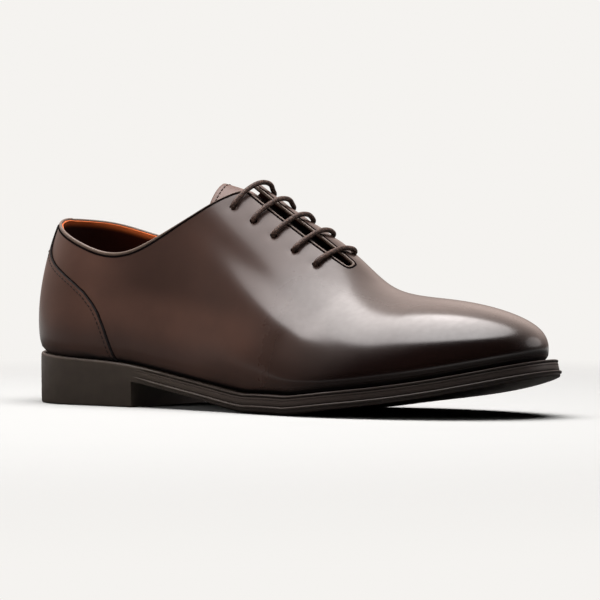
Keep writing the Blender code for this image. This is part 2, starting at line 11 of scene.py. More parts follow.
import bmesh
import bpy
import numpy as np
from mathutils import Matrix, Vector


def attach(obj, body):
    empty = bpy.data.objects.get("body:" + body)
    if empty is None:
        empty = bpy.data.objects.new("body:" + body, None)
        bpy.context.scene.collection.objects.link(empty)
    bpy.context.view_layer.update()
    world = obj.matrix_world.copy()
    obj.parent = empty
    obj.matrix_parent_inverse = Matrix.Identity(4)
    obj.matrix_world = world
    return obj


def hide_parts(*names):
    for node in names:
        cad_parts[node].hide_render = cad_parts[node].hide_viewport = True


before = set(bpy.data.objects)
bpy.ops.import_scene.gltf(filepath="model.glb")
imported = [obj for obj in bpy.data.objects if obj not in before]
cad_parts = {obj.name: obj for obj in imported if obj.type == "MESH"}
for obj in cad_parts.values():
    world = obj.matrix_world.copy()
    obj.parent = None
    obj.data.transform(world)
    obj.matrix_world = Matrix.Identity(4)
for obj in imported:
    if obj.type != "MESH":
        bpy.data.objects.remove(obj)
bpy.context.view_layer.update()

MM = 0.001
PLACE = np.array((-149.5, 2.746, 0.0)) * MM
LATERAL, MEDIAL = -1, 1
SIDES = (LATERAL, MEDIAL)
FORWARD = np.array((1.0, 0.0, 0.0))


def table(fields, units, *rows):
    """Rows with named columns, each column times its unit."""
    kind = namedtuple("Row", fields)
    return tuple(kind(*(value * unit for value, unit in zip(row, units))) for row in rows)


def normalised(rows):
    """Rows of vectors, each brought to length 1."""
    return rows / np.linalg.norm(rows, axis=1)[:, None]


def lengths_along(path):
    """Distance of each point of a path from its start."""
    return np.append(0, np.cumsum(np.linalg.norm(np.diff(path, axis=0), axis=1)))


# Sizes of the last and the shoe, as in its solids
LENGTH = 297 * MM
BALL_WIDTH = 93 * MM
INSTEP_HEIGHT = 112 * MM
HEEL_HEIGHT = 19 * MM
TOE_SPRING = 17 * MM
WALL = 2.0 * MM
WELT = 5.2 * MM
INSOLE = 2.5 * MM
TONGUE = 1.8 * MM
GAP = 0.3 * MM

# Sections of the last, the very back first
BACK, *SECTIONS = table(
    "along lateral medial ridge crest wall crown tilt bulge", (1, 1, 1, 1, 1, 1, 1, 1, MM),
    (0.00, 0.000, 0.000, 0.000, 1.340, 0.360, 0.060, 0.00, 14.5),
    (0.14, 0.360, 0.345, 0.000, 1.340, 0.380, 0.150, 0.00, 3.0),
    (0.26, 0.366, 0.325, 0.000, 1.290, 0.440, 0.180, 0.15, 2.5),
    (0.38, 0.392, 0.298, -0.008, 1.100, 0.490, 0.240, 0.48, 2.0),
    (0.50, 0.446, 0.318, 0.000, 0.885, 0.375, 0.320, 0.52, 7.5),
    (0.60, 0.505, 0.385, 0.018, 0.710, 0.380, 0.340, 0.48, 4.5),
    (0.68, 0.535, 0.452, 0.050, 0.574, 0.545, 0.270, 0.10, 0.0),
    (0.74, 0.522, 0.474, 0.045, 0.526, 0.583, 0.252, 0.02, 0.0),
    (0.80, 0.480, 0.458, 0.045, 0.508, 0.592, 0.271, 0.00, 0.0),
)
HEEL_CENTRE, TOE_START = SECTIONS[0].along, SECTIONS[-1].along
TOP_COLUMNS = ("crest", "wall", "crown", "tilt", "bulge")
HEEL_ROUND = (2.3, 2.0)
TOE_ROUND = (2.5, 2.0)
TOE_PROFILE_ROUND = 3.2
# How far over the half-width the crown can reach, and how softly it is held there
CROWN_LIMIT = 0.95
CROWN_SOFT = 0.06
TUCK = 1.4 * MM
TUCK_HEIGHT = 8 * MM

SOLE_ROWS = table(
    "along heel_share spring_share outsole reach_lateral reach_medial", (1, 1, 1, MM, MM, MM),
    (0.00, 1.00, 0.00, 2.8, 1.5, 1.5),
    (0.13, 0.85, 0.00, 2.8, 1.8, 1.8),
    (0.25, 0.72, 0.00, 2.8, 1.8, 1.5),
    (0.33, 0.52, 0.00, 2.8, 1.8, 0.5),
    (0.44, 0.235, 0.00, 3.0, 2.8, 1.0),
    (0.515, 0.02, 0.00, 4.0, 3.8, 2.5),
    (0.60, 0.00, -0.03, 4.2, 4.4, 3.8),
    (0.69, 0.00, 0.17, 3.4, 4.4, 4.4),
    (0.79, 0.00, 0.40, 2.9, 4.6, 4.6),
    (0.90, 0.00, 0.72, 2.8, 4.8, 4.8),
    (1.00, 0.00, 1.12, 2.8, 5.0, 5.0),
)
HEEL_BREAST = 0.263
HEEL_TAPER = 0.2 * MM
WELT_WIDTH = 13 * MM
OUTSOLE_DRAW_IN = 1.6

COLLAR_ROWS = table(
    "along lateral medial", (1, 1, 1),
    (0.035, 0.862, 0.862), (0.070, 0.815, 0.848), (0.115, 0.763, 0.818), (0.155, 0.724, 0.790),
    (0.190, 0.703, 0.772), (0.245, 0.7125, 0.778), (0.290, 0.761, 0.818), (0.370, 0.888, 0.918),
    (0.420, 0.979, 0.990), (0.470, 1.060, 1.070),
)
THROAT_END = 0.633
THROAT_TOP = 0.40
THROAT_HALF_TOP = 2.7 * MM
THROAT_HALF_END = 1.5 * MM
THROAT_ROUND = 2.5 * MM
FACING_CORNER = 0.10

EYELET_ROWS = 5
EYELET_FIRST = 0.429
EYELET_LAST = 0.593
EYELET_SKEW = 0.018
EYELET_INSET = 11.2 * MM
EYELET_RADIUS = 2.0 * MM
LACE_RADIUS = 1.3 * MM
LACE_ARCH = 1.6 * MM
LACE_PEAK = 0.6
LACE_BEND = 0.87

TONGUE_FRONT = 0.67
TONGUE_TOP = 0.380
TONGUE_ROUND = 9 * MM
TONGUE_END = 0.8
TONGUE_HALF = 21 * MM
TONGUE_LACE_ROOM = 3.3 * MM
TONGUE_LEAN = 6.5 * MM

COUNTER_ROWS = table(
    "reach height", (MM, 1),
    (0, 0.975), (16.5, 0.975), (17.5, 0.91), (19.5, 0.855), (23, 0.812), (29, 0.773), (37, 0.738),
    (46, 0.705), (55, 0.665), (63, 0.61), (69, 0.53), (73, 0.45), (77, 0.32), (80.5, 0.18), (83.5, 0.06),
    (85, 0.0),
)

# What the dressed shoe adds to its solids
LEATHER = 1.2 * MM  # the outer leather's share of the wall; the rest is lining
CREVICE = 1.4 * MM  # how far the leather rolls in just over the welt
CREVICE_HEIGHT = 3.2 * MM
COUNTER_LIFT = 1.1 * MM
COUNTER_EDGE = 0.6 * MM  # rounding of its cut edge
EYELET_DIMPLE = 0.45 * MM  # how far the lace pulls the leather in at a hole
EYELET_DIMPLE_RADIUS = 3.4 * MM
LINING_GAP = 0.03 * MM  # between leather and lining
HIDDEN_DEPTH = WALL + LACE_RADIUS + GAP  # of the lace's runs under the facings
LACE_START_INSET = EYELET_INSET - 4 * MM  # of its first hidden run, from the slit's edge
LACE_SIDES = 14
SHARP_ANGLE = math.radians(40)

# The counter's underside lies in the leather, its corners are eased to each side, and its edge is inked
# dark, with a dark line along it of edge dye and painted shade. Ovals are half-sizes and a number of sides,
# and may be set off.
COUNTER_SUNK = 0.3 * MM
COUNTER_EASE = 0.8 * MM
COUNTER_INK = 0.7 * MM
COUNTER_LINE_OVAL = (0.5 * MM, 0.35 * MM, 8)

# The rim's binding and the dark line beside it: a cord of edge dye and painted shade of its groove.
# The binding narrows towards the lacing and widens again along the slit, both between shares of LENGTH.
RIM_STEP = 0.8 * MM
BINDING_OVAL = (0.95 * MM, 0.85 * MM, 12, 0.1 * MM, -0.55 * MM)
BINDING_NARROW = 0.45
BINDING_TAPER = (0.26, 0.38)
SLIT_WIDER = 0.3
SLIT_BINDING = (0.41, 0.45)
RIM_LINE = 1.45 * MM  # its distance from the rim
RIM_LINE_OVAL = (0.52 * MM, 0.3 * MM, 8)

# Stitches: length, pitch, thickness, and their lifts over the leather at shares of their length; then
# where the counter's row starts round the heel, and how far in from the edge the two rows lie.
STITCH = 2.0 * MM
STITCH_PITCH = 2.7 * MM
STITCH_OVAL = (0.28 * MM, 0.28 * MM, 6)
STITCH_SHARES = np.array((0.0, 0.12, 0.5, 0.88, 1.0))
STITCH_LIFTS = np.array((-0.12, 0.14, 0.24, 0.14, -0.12)) * MM
STITCH_START = 22.5 * MM
STITCH_INSET = 2.2 * MM
STITCH_HEIGHT = COUNTER_LIFT - 0.12 * MM
TONGUE_STITCH_INSET = 2.4 * MM
TONGUE_STITCHED = 0.05  # how far down its sides the row runs, share of LENGTH
TONGUE_EDGE = 0.25  # thickness left at its edge, share of the whole

# Soft hollows of the leather over the last. along and height are shares of LENGTH and INSTEP_HEIGHT,
# reach and width half-sizes along the shoe and up it, lean the hollow's rise for each length.
HOLLOWS = table(
    "side along height reach width lean depth", (1, 1, 1, MM, MM, 1, MM),
    (LATERAL, 0.53, 0.59, 40, 9.5, -0.6, 1.7),
    (MEDIAL, 0.37, 0.62, 40, 14, 0.05, 1.0),
    *((side, 0.645, 0.44, 7, 11, 0.6, 0.35) for side in SIDES),
    *((side, 0.60, 0.34, 6, 12, 0.5, 0.25) for side in SIDES),
)

# The sole's edge from top to bottom, past the welt's lower corner: shaped in front of the heel, plain
# round it. drop is measured from the top of the piece.
EDGE_FIELDS = ("shaped plain drop", (MM, MM, MM))
WELT_EDGE = table(
    *EDGE_FIELDS,
    (-1.90, -1.60, 0.00), (-1.35, -1.00, 0.05), (-0.95, -0.60, 0.22), (-0.78, -0.35, 0.55),
    (-0.80, -0.20, 0.90), (-1.00, -0.12, 1.15), (-1.45, -0.10, 1.32), (-1.45, -0.09, 1.50),
    (-0.95, -0.08, 1.62), (-0.80, -0.07, 1.95), (-0.72, -0.05, 2.40), (-0.90, -0.05, 2.52),
    (-0.90, -0.05, 2.62), (-0.68, -0.04, 2.75), (-0.45, -0.02, 3.80), (-0.22, 0.00, 4.90),
    (-0.30, 0.00, 5.30), (-0.60, 0.00, 5.50),
)
OUTSOLE_EDGE = table(
    *EDGE_FIELDS,
    (-0.60, 0.00, -0.05), (0.20, 0.00, 0.02), (0.62, 0.00, 0.15), (0.88, 0.00, 0.42),
    (0.92, 0.00, 0.75), (0.80, 0.00, 1.10), (0.45, 0.00, 1.35), (0.18, 0.00, 1.55),
    (0.20, 0.00, 1.80), (0.20, 0.00, 2.30), (0.05, 0.00, 2.65),
)
RIB_START = 0.06  # length over which the shaped edge begins in front of the heel, share of LENGTH
UNDERSIDE_IN = 0.1 * MM  # how far the outsole's underside is drawn in
# Eased edges: how far each ring is drawn in, and its height over the floor or its drop from the top
HEEL_FOOT = ((0.0, 1.2 * MM), (0.15 * MM, 0.55 * MM), (0.5 * MM, 0.15 * MM), (0.9 * MM, 0.0))
INSOLE_EASE = ((0.0, 0.5 * MM), (0.25 * MM, 0.12 * MM), (0.8 * MM, 0.0))

# Mesh steps: closer at the facings' corner, at the slit's end, near the sole, at the rim and at the
# tongue's top
CORNER_FROM, CORNER_TO = THROAT_TOP - 0.02, THROAT_TOP + 0.06
SLIT_END_FROM = THROAT_END - 0.02
UPPER_FOOT = 0.075  # share of the section's curve
TONGUE_TIP = 0.03  # share of LENGTH
HEEL_POINTS, BREAST_POINTS = 49, 26
RIM_CROWDING = 0.85  # how close the points at the rim may crowd; at 1 they would meet
RIM_POWER = 7

# Finish of the leather, with places along it as shares of LENGTH and heights over the welt. It is
# burnished towards the toe. Behind that it is dyed, and up the side a painted sheen lightens it, but for
# a wedge under the facings. Its polish rises twice towards the toe, and is duller near the ridge.
BURNISH = (0.50, 0.72)
DYED = 0.50
PAINTED_SHEEN_RISES = (8 * MM, 24 * MM)
PAINTED_SHEEN_ENDS = (0.46, 0.60)
WEDGE_ALONG = (0.16, 0.28)
WEDGE_OVER = (30 * MM, 44 * MM)
POLISHED = 0.12
POLISH_RISES = ((0.48, 0.61, 0.33), (0.78, 0.89, 0.28))  # from, to and how much
RIDGE_DULL = 0.5
RIDGE_REACH = (12 * MM, 27 * MM)

# Painted shade: the crevice over the welt, the tongue under the slit, and the lining below the collar
# and under the facings. The sole's edge is darker in front of the heel.
CREVICE_SHADE = (1.3 * MM, 2.6 * MM)
SLIT_DARKENS = (0.415, 0.45)
SLIT_LIGHTENS = (0.595, 0.61)
SOLE_DARKENS = (0.27, 0.60)
SHADE = (0.8 * MM, 4.2 * MM)
FACINGS_SHADE = (0.36, 0.40)

# Colours of the materials: the main one first, then the darker ones
CALF = ((0.058, 0.0285, 0.0205), (0.0045, 0.0018, 0.0014))
TONGUE_CALF = (0.070, 0.036, 0.028)
BINDING_CALF = (0.080, 0.056, 0.043)
# the dark lines under the collar's binding and along the counter's edge: edge dye and painted shade
EDGE_INK_AND_SHADE = ((0.005, 0.004, 0.004), (0.003, 0.002, 0.002), (0.003, 0.002, 0.002))
# the last colour is painted shade, below the collar, under the facings and over the insole
LINING_TAN = ((0.72, 0.165, 0.042), (0.60, 0.13, 0.034), (0.024, 0.0034, 0.0012))
SOLE_BROWN = ((0.034, 0.0265, 0.0205), (0.024, 0.0185, 0.0145), (0.014, 0.0098, 0.0080))
# the darker colour is painted shade between the cord's strands
CORD_BROWN = ((0.105, 0.062, 0.045), (0.024, 0.013, 0.010))
THREAD = ((0.014, 0.0085, 0.0065), (0.0084, 0.0051, 0.0039))
# near black of the counter's inked edge and of painted shade over the welt and on the tongue
INK_AND_SHADE = (0.004, 0.003, 0.003)

# Noise in the materials: its scale, its detail and the values between which it runs
NOISE_SPREAD = (0.15, 0.85)
DYE_MOTTLE = (45, 5, 0.82, 1.18)
CALF_DULLNESS = (160, 3, -0.02, 0.02)
WAX_CLOUDS = (300, 4, 0.90, 1.10, (0.2, 0.8))
NAP_MOTTLE = (120, 4, 0, 1)
SOLE_MOTTLE = (150, 4, 0, 1)
SOLE_ROUGHNESS = (220, 3, 0.38, 0.5)

# Bumps: scale and detail of the noise or size of the cells, and depth
CALF_GRAIN, CALF_GRAIN_DEPTH = (700, 3), 0.016 * MM
PORES, PORE_DEPTH = 1500, 0.006 * MM
STRANDS, STRAND_DEPTH = 1100, -0.12 * MM
SOLE_LINES, SOLE_LINE_DEPTH = (60, 60, 1600), 0.03 * MM
TWIST = (3000, 2)

# Gloss and roughness
ROUGHNESS_SWING = 0.06
INK_AND_SHADE_ROUGHNESS = 0.9
PLAIN_GLOSS = 0.15

# The camera stands where the photograph's stood. It is turned to the middle of the shoe, and its lens lets
# the shoe fill the picture.
CAMERA_PLACE = (0.80165, -1.13570, 0.07926)
CAMERA_TURN = (math.radians(89.004), 0.0, math.radians(34.846))
CAMERA_LENS = 165
CAMERA_SENSOR = 36

# The floor melts into the backdrop between two distances from its middle. The shoe mirrors it darker.
FLOOR_COLOUR = (0.418, 0.431, 0.427)
FLOOR_MIRRORED = (0.06, 0.057, 0.054)
FLOOR_RADIUS = 12.0
FLOOR_DROP = 0.1 * MM
FLOOR_FADE = (0.28, 0.7)
BACKDROP = (0.913, 0.896, 0.871)

# The room that the shoe mirrors: bright on the far side of it, less so near the horizon
FAR_WAY = (-0.531, 0.847, 0.0)  # away from the camera, across the floor
FAR_TURN = (-0.62, 0.45)  # shares of that way between which the light grows
FAR_LIGHT = 1.95
NEAR_LIGHT = 0.03
HORIZON = (0.05, 0.55)  # heights of view between which the far light grows
HORIZON_LIGHT = 0.22
ROOM_COLOUR = (1.0, 0.80, 0.72)

Panel = namedtuple("Panel", "name shape place aim size power diffuse glossy")
PANELS = (
    Panel("overhead_softbox", "ELLIPSE", (-0.05, -0.10, 1.28), (-0.05, -0.10, 0.0), (2.02, 1.60), 65,
          True, True),
    Panel("right_panel", "RECTANGLE", (1.15, 0.75, 0.62), (0.08, 0.0, 0.03), (1.2, 0.9), 7.4, False, True),
    Panel("left_fill", "RECTANGLE", (-0.75, -1.30, 0.45), (0.0, 0.0, 0.04), (0.8, 0.6), 10, True, False),
)
LIGHT_COLOUR = (1.0, 0.955, 0.945)
PANEL_FADE = 0.78  # share of a panel's half-size from which its light fades to the rim


def spline(rows, column, start_slope=None):
    """The smooth curve of a column over a table's first column, straight beyond its ends."""
    xs = np.array([row[0] for row in rows])
    ys = np.array([getattr(row, column) for row in rows])
    steps = np.diff(xs)
    rises = np.diff(ys) / steps
    size = len(xs)
    system = np.zeros((size, size))
    target = np.zeros(size)
    for i in range(1, size - 1):
        before, after = 1 / steps[i - 1], 1 / steps[i]
        system[i, i - 1 : i + 2] = before, 2 * (before + after), after
        target[i] = 3 * (rises[i - 1] * before + rises[i] * after)
    system[0, :2], target[0] = (2, 1), 3 * rises[0]
    system[-1, -2:], target[-1] = (1, 2), 3 * rises[-1]
    if start_slope is not None:
        system[0, :2], target[0] = (1, 0), start_slope
    slopes = np.linalg.solve(system, target)

    def value(x):
        i = int(np.clip(np.searchsorted(xs, x) - 1, 0, size - 2))
        if x <= xs[0]:
            return ys[0] + slopes[0] * (x - xs[0])
        if x >= xs[-1]:
            return ys[-1] + slopes[-1] * (x - xs[-1])
        u, h = (x - xs[i]) / steps[i], steps[i]
        return (
            ys[i] * (1 + 2 * u) * (1 - u) ** 2
            + ys[i + 1] * u * u * (3 - 2 * u)
            + h * slopes[i] * u * (1 - u) ** 2
            - h * slopes[i + 1] * u * u * (1 - u)
        )

    return value


LAST = {
    column: spline(SECTIONS, column, 0.0 if column in ("lateral", "medial", "ridge") else None)
    for column in BACK._fields[1:]
}
SOLE = {column: spline(SOLE_ROWS, column) for column in SOLE_ROWS[0]._fields[1:]}
COLLAR = {LATERAL: spline(COLLAR_ROWS, "lateral"), MEDIAL: spline(COLLAR_ROWS, "medial")}


# The last's own shape, as in the solids

def sole_lift(x):
    """Height of the outsole's underside over the floor."""
    along = x / LENGTH
    lift = HEEL_HEIGHT * SOLE["heel_share"](along) + TOE_SPRING * SOLE["spring_share"](along)
    return max(lift, 0.0)


def outsole_thickness(x):
    return SOLE["outsole"](x / LENGTH)


def seat(x):
    """Height of the upper's lower edge."""
    return sole_lift(x) + outsole_thickness(x) + WELT + 2 * GAP


def body_station(along):
    """A station is a place along the wall: 0 to 1 round the heel, 1 to 2 along the body, 2 to 3
    round the toe."""
    return 1 + (along - HEEL_CENTRE) / (TOE_START - HEEL_CENTRE)


def edge_point(w, side):
    """Plan place of the upper's widest line at a station, and the middle that its section leans to."""
    widths = LAST["lateral"] if side == LATERAL else LAST["medial"]
    if w <= 1:
        turn = w * math.pi / 2
        along = HEEL_CENTRE * (1 - math.cos(turn) ** (2 / HEEL_ROUND[0]))
        across = side * widths(HEEL_CENTRE) * math.sin(turn) ** (2 / HEEL_ROUND[1])
        return np.array((along * LENGTH, across * BALL_WIDTH)), np.array((HEEL_CENTRE * LENGTH, 0.0))
    if w <= 2:
        along, closing = HEEL_CENTRE + (w - 1) * (TOE_START - HEEL_CENTRE), 1.0
    else:
        turn = min(w - 2, 1) * math.pi / 2
        along = TOE_START + (1 - TOE_START) * math.sin(turn) ** (2 / TOE_ROUND[0])
        closing = max(math.cos(turn), 0.0) ** (2 / TOE_ROUND[1])
    ridge = LAST["ridge"](along)
    across = ridge + closing * (side * widths(along) - ridge)
    return np.array((along, across)) * (LENGTH, BALL_WIDTH), np.array((along, ridge)) * (LENGTH, BALL_WIDTH)


def edge_normal(w, side):
    """Outward direction of the plan outline at a station."""
    step = 1e-3
    before, after = max(w - step, 0.0), min(w + step, 3.0)
    dx, dy = edge_point(after, side)[0] - edge_point(before, side)[0]
    normal = np.array((-dy, dx)) * side
    if w < step:
        normal = np.array((-1.0, 0.0))
    if w > 3 - step:
        normal = np.array((1.0, 0.0))
    return normal / np.linalg.norm(normal)


def soft_limit(share):
    """Holds a share of the half-width under CROWN_LIMIT, without a kink."""
    over = share - CROWN_LIMIT
    return share - (over + math.hypot(over, CROWN_SOFT)) / 2


def section_controls(w, side):
    """The four control points of a section's curve, from the lower edge to the crest."""
    foot, middle = edge_point(w, side)
    along = foot[0] / LENGTH
    if w <= 1:
        turned = math.sin(w * math.pi / 2) ** 2
        crest, wall, crown, tilt, bulge = (
            getattr(BACK, name) * (1 - turned) + getattr(SECTIONS[0], name) * turned for name in TOP_COLUMNS
        )
    else:
        crest, wall, crown, tilt, bulge = (LAST[name](along) for name in TOP_COLUMNS)
    low = seat(foot[0])
    climb = crest * INSTEP_HEIGHT - low
    half = np.linalg.norm(foot - middle)
    crown_share = soft_limit(crown * BALL_WIDTH / half) if half else 0.0
    if w > 2:
        closing = max(math.cos(min(w - 2, 1) * math.pi / 2), 0.0)
        climb *= closing ** (2 / TOE_PROFILE_ROUND)
        crown_share = soft_limit(crown * BALL_WIDTH / np.linalg.norm(np.subtract(*edge_point(2, side))))
        tilt = bulge = 0.0
    outward = edge_normal(w, side)
    crown_rise = side * tilt * crown_share * half
    return np.array((
        (*foot, low),
        (*(foot + bulge * outward), low + wall * climb),
        (*(middle + crown_share * (foot - middle)), low + climb + crown_rise),
        (*middle, low + climb),
    ))


def section_points(w, side, t):
    """Points of the upper's outer face at a station, at shares t of its section's curve."""
    t = np.atleast_1d(t)[:, None]
    a, b, c, d = section_controls(w, side)
    points = a * (1 - t) ** 3 + 3 * b * t * (1 - t) ** 2 + 3 * c * t * t * (1 - t) + d * t**3
    rise = np.clip(1 - (points[:, 2:] - a[2]) / TUCK_HEIGHT, 0, 1)
    forward = t if w > 2 else 0 * t
    points[:, :2] -= TUCK * rise**2 * ((1 - forward) * edge_normal(w, side) + forward * FORWARD[:2])
    return points


def section_normals(w, side, t):
    """Outward directions of the outer face, from small steps along and up the wall."""
    step = 1e-4
    w = min(max(w, step), 3 - 200 * step)
    t = np.clip(np.atleast_1d(t), step, 1 - step)
    along = section_points(w + step, side, t) - section_points(w - step, side, t)
    up = section_points(w, side, t + step) - section_points(w, side, t - step)
    return normalised(np.cross(along, up) * -side)


def share_where(values, target):
    """The first share of a rising list of values at which it reaches the target, or 1."""
    shares = np.linspace(0, 1, len(values))
    if values[-1] <= target:
        return 1.0
    return float(np.interp(target, np.maximum.accumulate(values), shares))


def throat_half(along):
    """Half-width of the slit."""
    if along >= THROAT_END:
        return 0.0
    share = (THROAT_END - along) / (THROAT_END - THROAT_TOP)
    width = THROAT_HALF_END + (THROAT_HALF_TOP - THROAT_HALF_END) * share
    left = (THROAT_END - along) * LENGTH / THROAT_ROUND
    return width * math.sqrt(1 - (1 - min(left, 1)) ** 2)


def share_beside_crest(w, side, distance):
    """Where a section comes within a distance of the line along its crest."""
    curve = section_points(w, side, np.linspace(0, 1, 200))
    inward = -np.abs(curve[:, 1] - curve[-1, 1])
    return share_where(inward, -distance)


def rim_share(w, side):
    """Where the wall ends at a station: at the collar, at the slit, or at the crest."""
    along = edge_point(w, side)[0][0] / LENGTH
    if along >= THROAT_END:
        return 1.0
    curve = section_points(w, side, np.linspace(0, 1, 200))
    rims = [COLLAR[side]] if w else COLLAR.values()
    over = [z / INSTEP_HEIGHT - np.mean([rim(x / LENGTH) for rim in rims]) for x, _, z in curve]
    collar = share_where(np.array(over), 0.0)
    if along < THROAT_TOP - FACING_CORNER:
        return collar
    slit = share_beside_crest(w, side, throat_half(along))
    near = max(FACING_CORNER - abs(collar - slit), 0) / FACING_CORNER
    return min(collar, slit) - near * near * FACING_CORNER / 4


def beside_crest(along, offset):
    """Point and outward direction of the last's face at a sideways offset from its crest."""
    side = MEDIAL if offset > 0 else LATERAL
    w = body_station(along)
    t = share_beside_crest(w, side, abs(offset))
    return section_points(w, side, t)[0], section_normals(w, side, t)[0]


def lacing_place(along, share, reach):
    """Point and outward direction on the outer face, from a row's outer hole (-1) to its inner one (1)."""
    return beside_crest(along + EYELET_SKEW * (share + 1) / 2, share * reach)


def eyelet(along, side):
    """Middle of a lace hole on the outer face, and the way out of it."""
    return lacing_place(along, side, throat_half(along) + EYELET_INSET)


EYELET_ALONGS = np.linspace(EYELET_FIRST, EYELET_LAST, EYELET_ROWS)
EYELETS = {side: [eyelet(along, side) for along in EYELET_ALONGS] for side in SIDES}


# Stations of the dressed pieces, and the leather's skin over the last

def runs(*stretches):
    """Even steps over stretches that follow on, each a start, an end and a count. Ends are left out."""
    return np.concatenate([np.linspace(*stretch)[:-1] for stretch in stretches])


def fine_stations():
    body = runs(
        (HEEL_CENTRE, CORNER_FROM, 64), (CORNER_FROM, CORNER_TO, 46), (CORNER_TO, SLIT_END_FROM, 50),
        (SLIT_END_FROM, THROAT_END, 22), (THROAT_END, TOE_START, 50),
    )
    toe = 3 - (1 - np.linspace(0, 1, 72)) ** 2
    return np.concatenate((runs((0, 1, 57)), [body_station(a) for a in body], toe))


STATIONS = fine_stations()
RIM_END = int(np.argmin(np.abs(STATIONS - body_station(THROAT_END)))) + 1
RIMS = {side: np.array([rim_share(w, side) for w in STATIONS]) for side in SIDES}


def rim(w, side):
    return float(np.interp(w, STATIONS, RIMS[side]))


def sunk(points, side):
    """How deep soft hollows and pulled lace holes sink the leather at points of its face."""
    depth = np.zeros(len(points))
    for row in HOLLOWS:
        if row.side == side:
            run = points[:, 0] - row.along * LENGTH
            rise = points[:, 2] - row.height * INSTEP_HEIGHT - row.lean * run
            depth += row.depth * np.exp(-((run / row.reach) ** 2) - (rise / row.width) ** 2)
    for place, _ in EYELETS[side]:
        away = np.linalg.norm(points - place, axis=1)
        depth += EYELET_DIMPLE * np.exp(-((away / EYELET_DIMPLE_RADIUS) ** 2))
    return depth


def skin(w, side, t, lift=0.0):
    """Points of the leather's face at a station, raised by a lift, and their outward directions."""
    points = section_points(w, side, t)
    if w < 3:
        normals = section_normals(w, side, t)
    else:
        normals = np.tile(FORWARD, (len(points), 1))
    low = seat(edge_point(w, side)[0][0])
    rolled = CREVICE * np.clip(1 - (points[:, 2] - low) / CREVICE_HEIGHT, 0, 1) ** 2
    raised_by = lift - sunk(points, side)
    points = points + np.reshape(raised_by, (-1, 1)) * normals
    points[:, :2] -= rolled[:, None] * edge_normal(w, side)
    return points, normals


# Meshes

class Mesh:
    """Collects points and faces, and makes them one object. Each point may carry a mark from 0 to 1."""

    def __init__(self):
        self.points = []
        self.faces = []
        self.marks = []

    def grid(self, points, marks=0.0):
        """Adds a sheet of rows of points, and returns their numbers in the same shape."""
        points = np.asarray(points)
        rows, columns = points.shape[:2]
        numbers = np.arange(rows * columns).reshape(rows, columns) + len(self.points)
        self.points.extend(points.reshape(-1, 3))
        self.marks.extend(np.broadcast_to(marks, (rows, columns)).ravel())
        for i in range(rows - 1):
            self.strip(numbers[i], numbers[i + 1])
        return numbers

    def strip(self, first, second):
        """Adds the faces between two rows of point numbers."""
        for j in range(len(first) - 1):
            self.faces.append((first[j], first[j + 1], second[j + 1], second[j]))

    def cap(self, numbers):
        """Closes both ends of a tube, from the numbers of its rings' points."""
        for end in (0, -1):
            self.faces.append(tuple(numbers[end, :-1]))

    def object(self, name, slot, *nodes):
        mesh = bpy.data.meshes.new(name)
        placed = np.array(self.points) + PLACE
        mesh.from_pydata(placed.tolist(), [], [[int(i) for i in face] for face in self.faces])
        mark = mesh.attributes.new("mark", "FLOAT", "POINT")
        mark.data.foreach_set("value", np.array(self.marks, dtype=np.float32))
        work = bmesh.new()
        work.from_mesh(mesh)
        bmesh.ops.remove_doubles(work, verts=work.verts, dist=5e-6)
        bmesh.ops.dissolve_degenerate(work, edges=work.edges, dist=1e-7)
        bmesh.ops.recalc_face_normals(work, faces=work.faces)
        work.to_mesh(mesh)
        work.free()
        smooth(mesh)
        made = add_object(name, mesh)
        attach(made, "root")
        if nodes:
            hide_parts(*nodes)
        return made


def add_object(name, data):
    made = bpy.data.objects.new(name, data)
    bpy.context.scene.collection.objects.link(made)
    return made


def smooth(mesh):
    mesh.shade_smooth()
    mesh.set_sharp_from_angle(angle=SHARP_ANGLE)


def even(spacing, path, *others):
    """A path, and rows that go with its points, at an even spacing."""
    path = np.asarray(path)
    lengths = lengths_along(path)
    places = np.linspace(0, lengths[-1], max(int(round(lengths[-1] / spacing)), 2) + 1)
    return [
        np.column_stack([np.interp(places, lengths, column) for column in np.asarray(rows).T])
        for rows in (path, *others)
    ]


def ahead(path, closed=False):
    """Unit directions along a path."""
    if closed:
        steps = np.roll(path, -1, axis=0) - np.roll(path, 1, axis=0)
    else:
        steps = np.gradient(path, axis=0)
    return normalised(steps)


def smoothstep(value, low, high):
    u = np.clip((value - low) / (high - low), 0, 1)
    return u * u * (3 - 2 * u)


def sweep(mesh, path, normals, profile, closed=False, widths=None):
    """Sweeps a closed profile of (sideways, outward) places along a path that lies on a face. widths
    scales the sideways places at each point."""
    path, normals = np.asarray(path), np.asarray(normals)
    sideways = normalised(np.cross(normals, ahead(path, closed)))
    if widths is not None:
        sideways *= np.reshape(widths, (-1, 1))
    rings = [p + [a * s + b * n for a, b in profile] for p, s, n in zip(path, sideways, normals)]
    if closed:
        rings.append(rings[0])
    numbers = mesh.grid([np.vstack((ring, ring[:1])) for ring in rings])
    if not closed:
        mesh.cap(numbers)


def oval(half_side, half_out, count, side=0.0, out=0.0):
    """A round profile for a sweep, set off from the path."""
    turns = np.linspace(0, 2 * math.pi, count, endpoint=False)
    return [(side + half_side * math.cos(a), out + half_out * math.sin(a)) for a in turns]


def sew(mesh, path, normals):
    """A row of single stitches along a path on a face, each dipping into it at its ends."""
    starts, outs = even(STITCH_PITCH, path, normals)
    shares = STITCH_SHARES[:, None] * STITCH / STITCH_PITCH
    for start, end, out in zip(starts[:-1], starts[1:], outs):
        points = start + shares * (end - start) + STITCH_LIFTS[:, None] * out
        sweep(mesh, points, np.tile(out, (len(points), 1)), oval(*STITCH_OVAL))


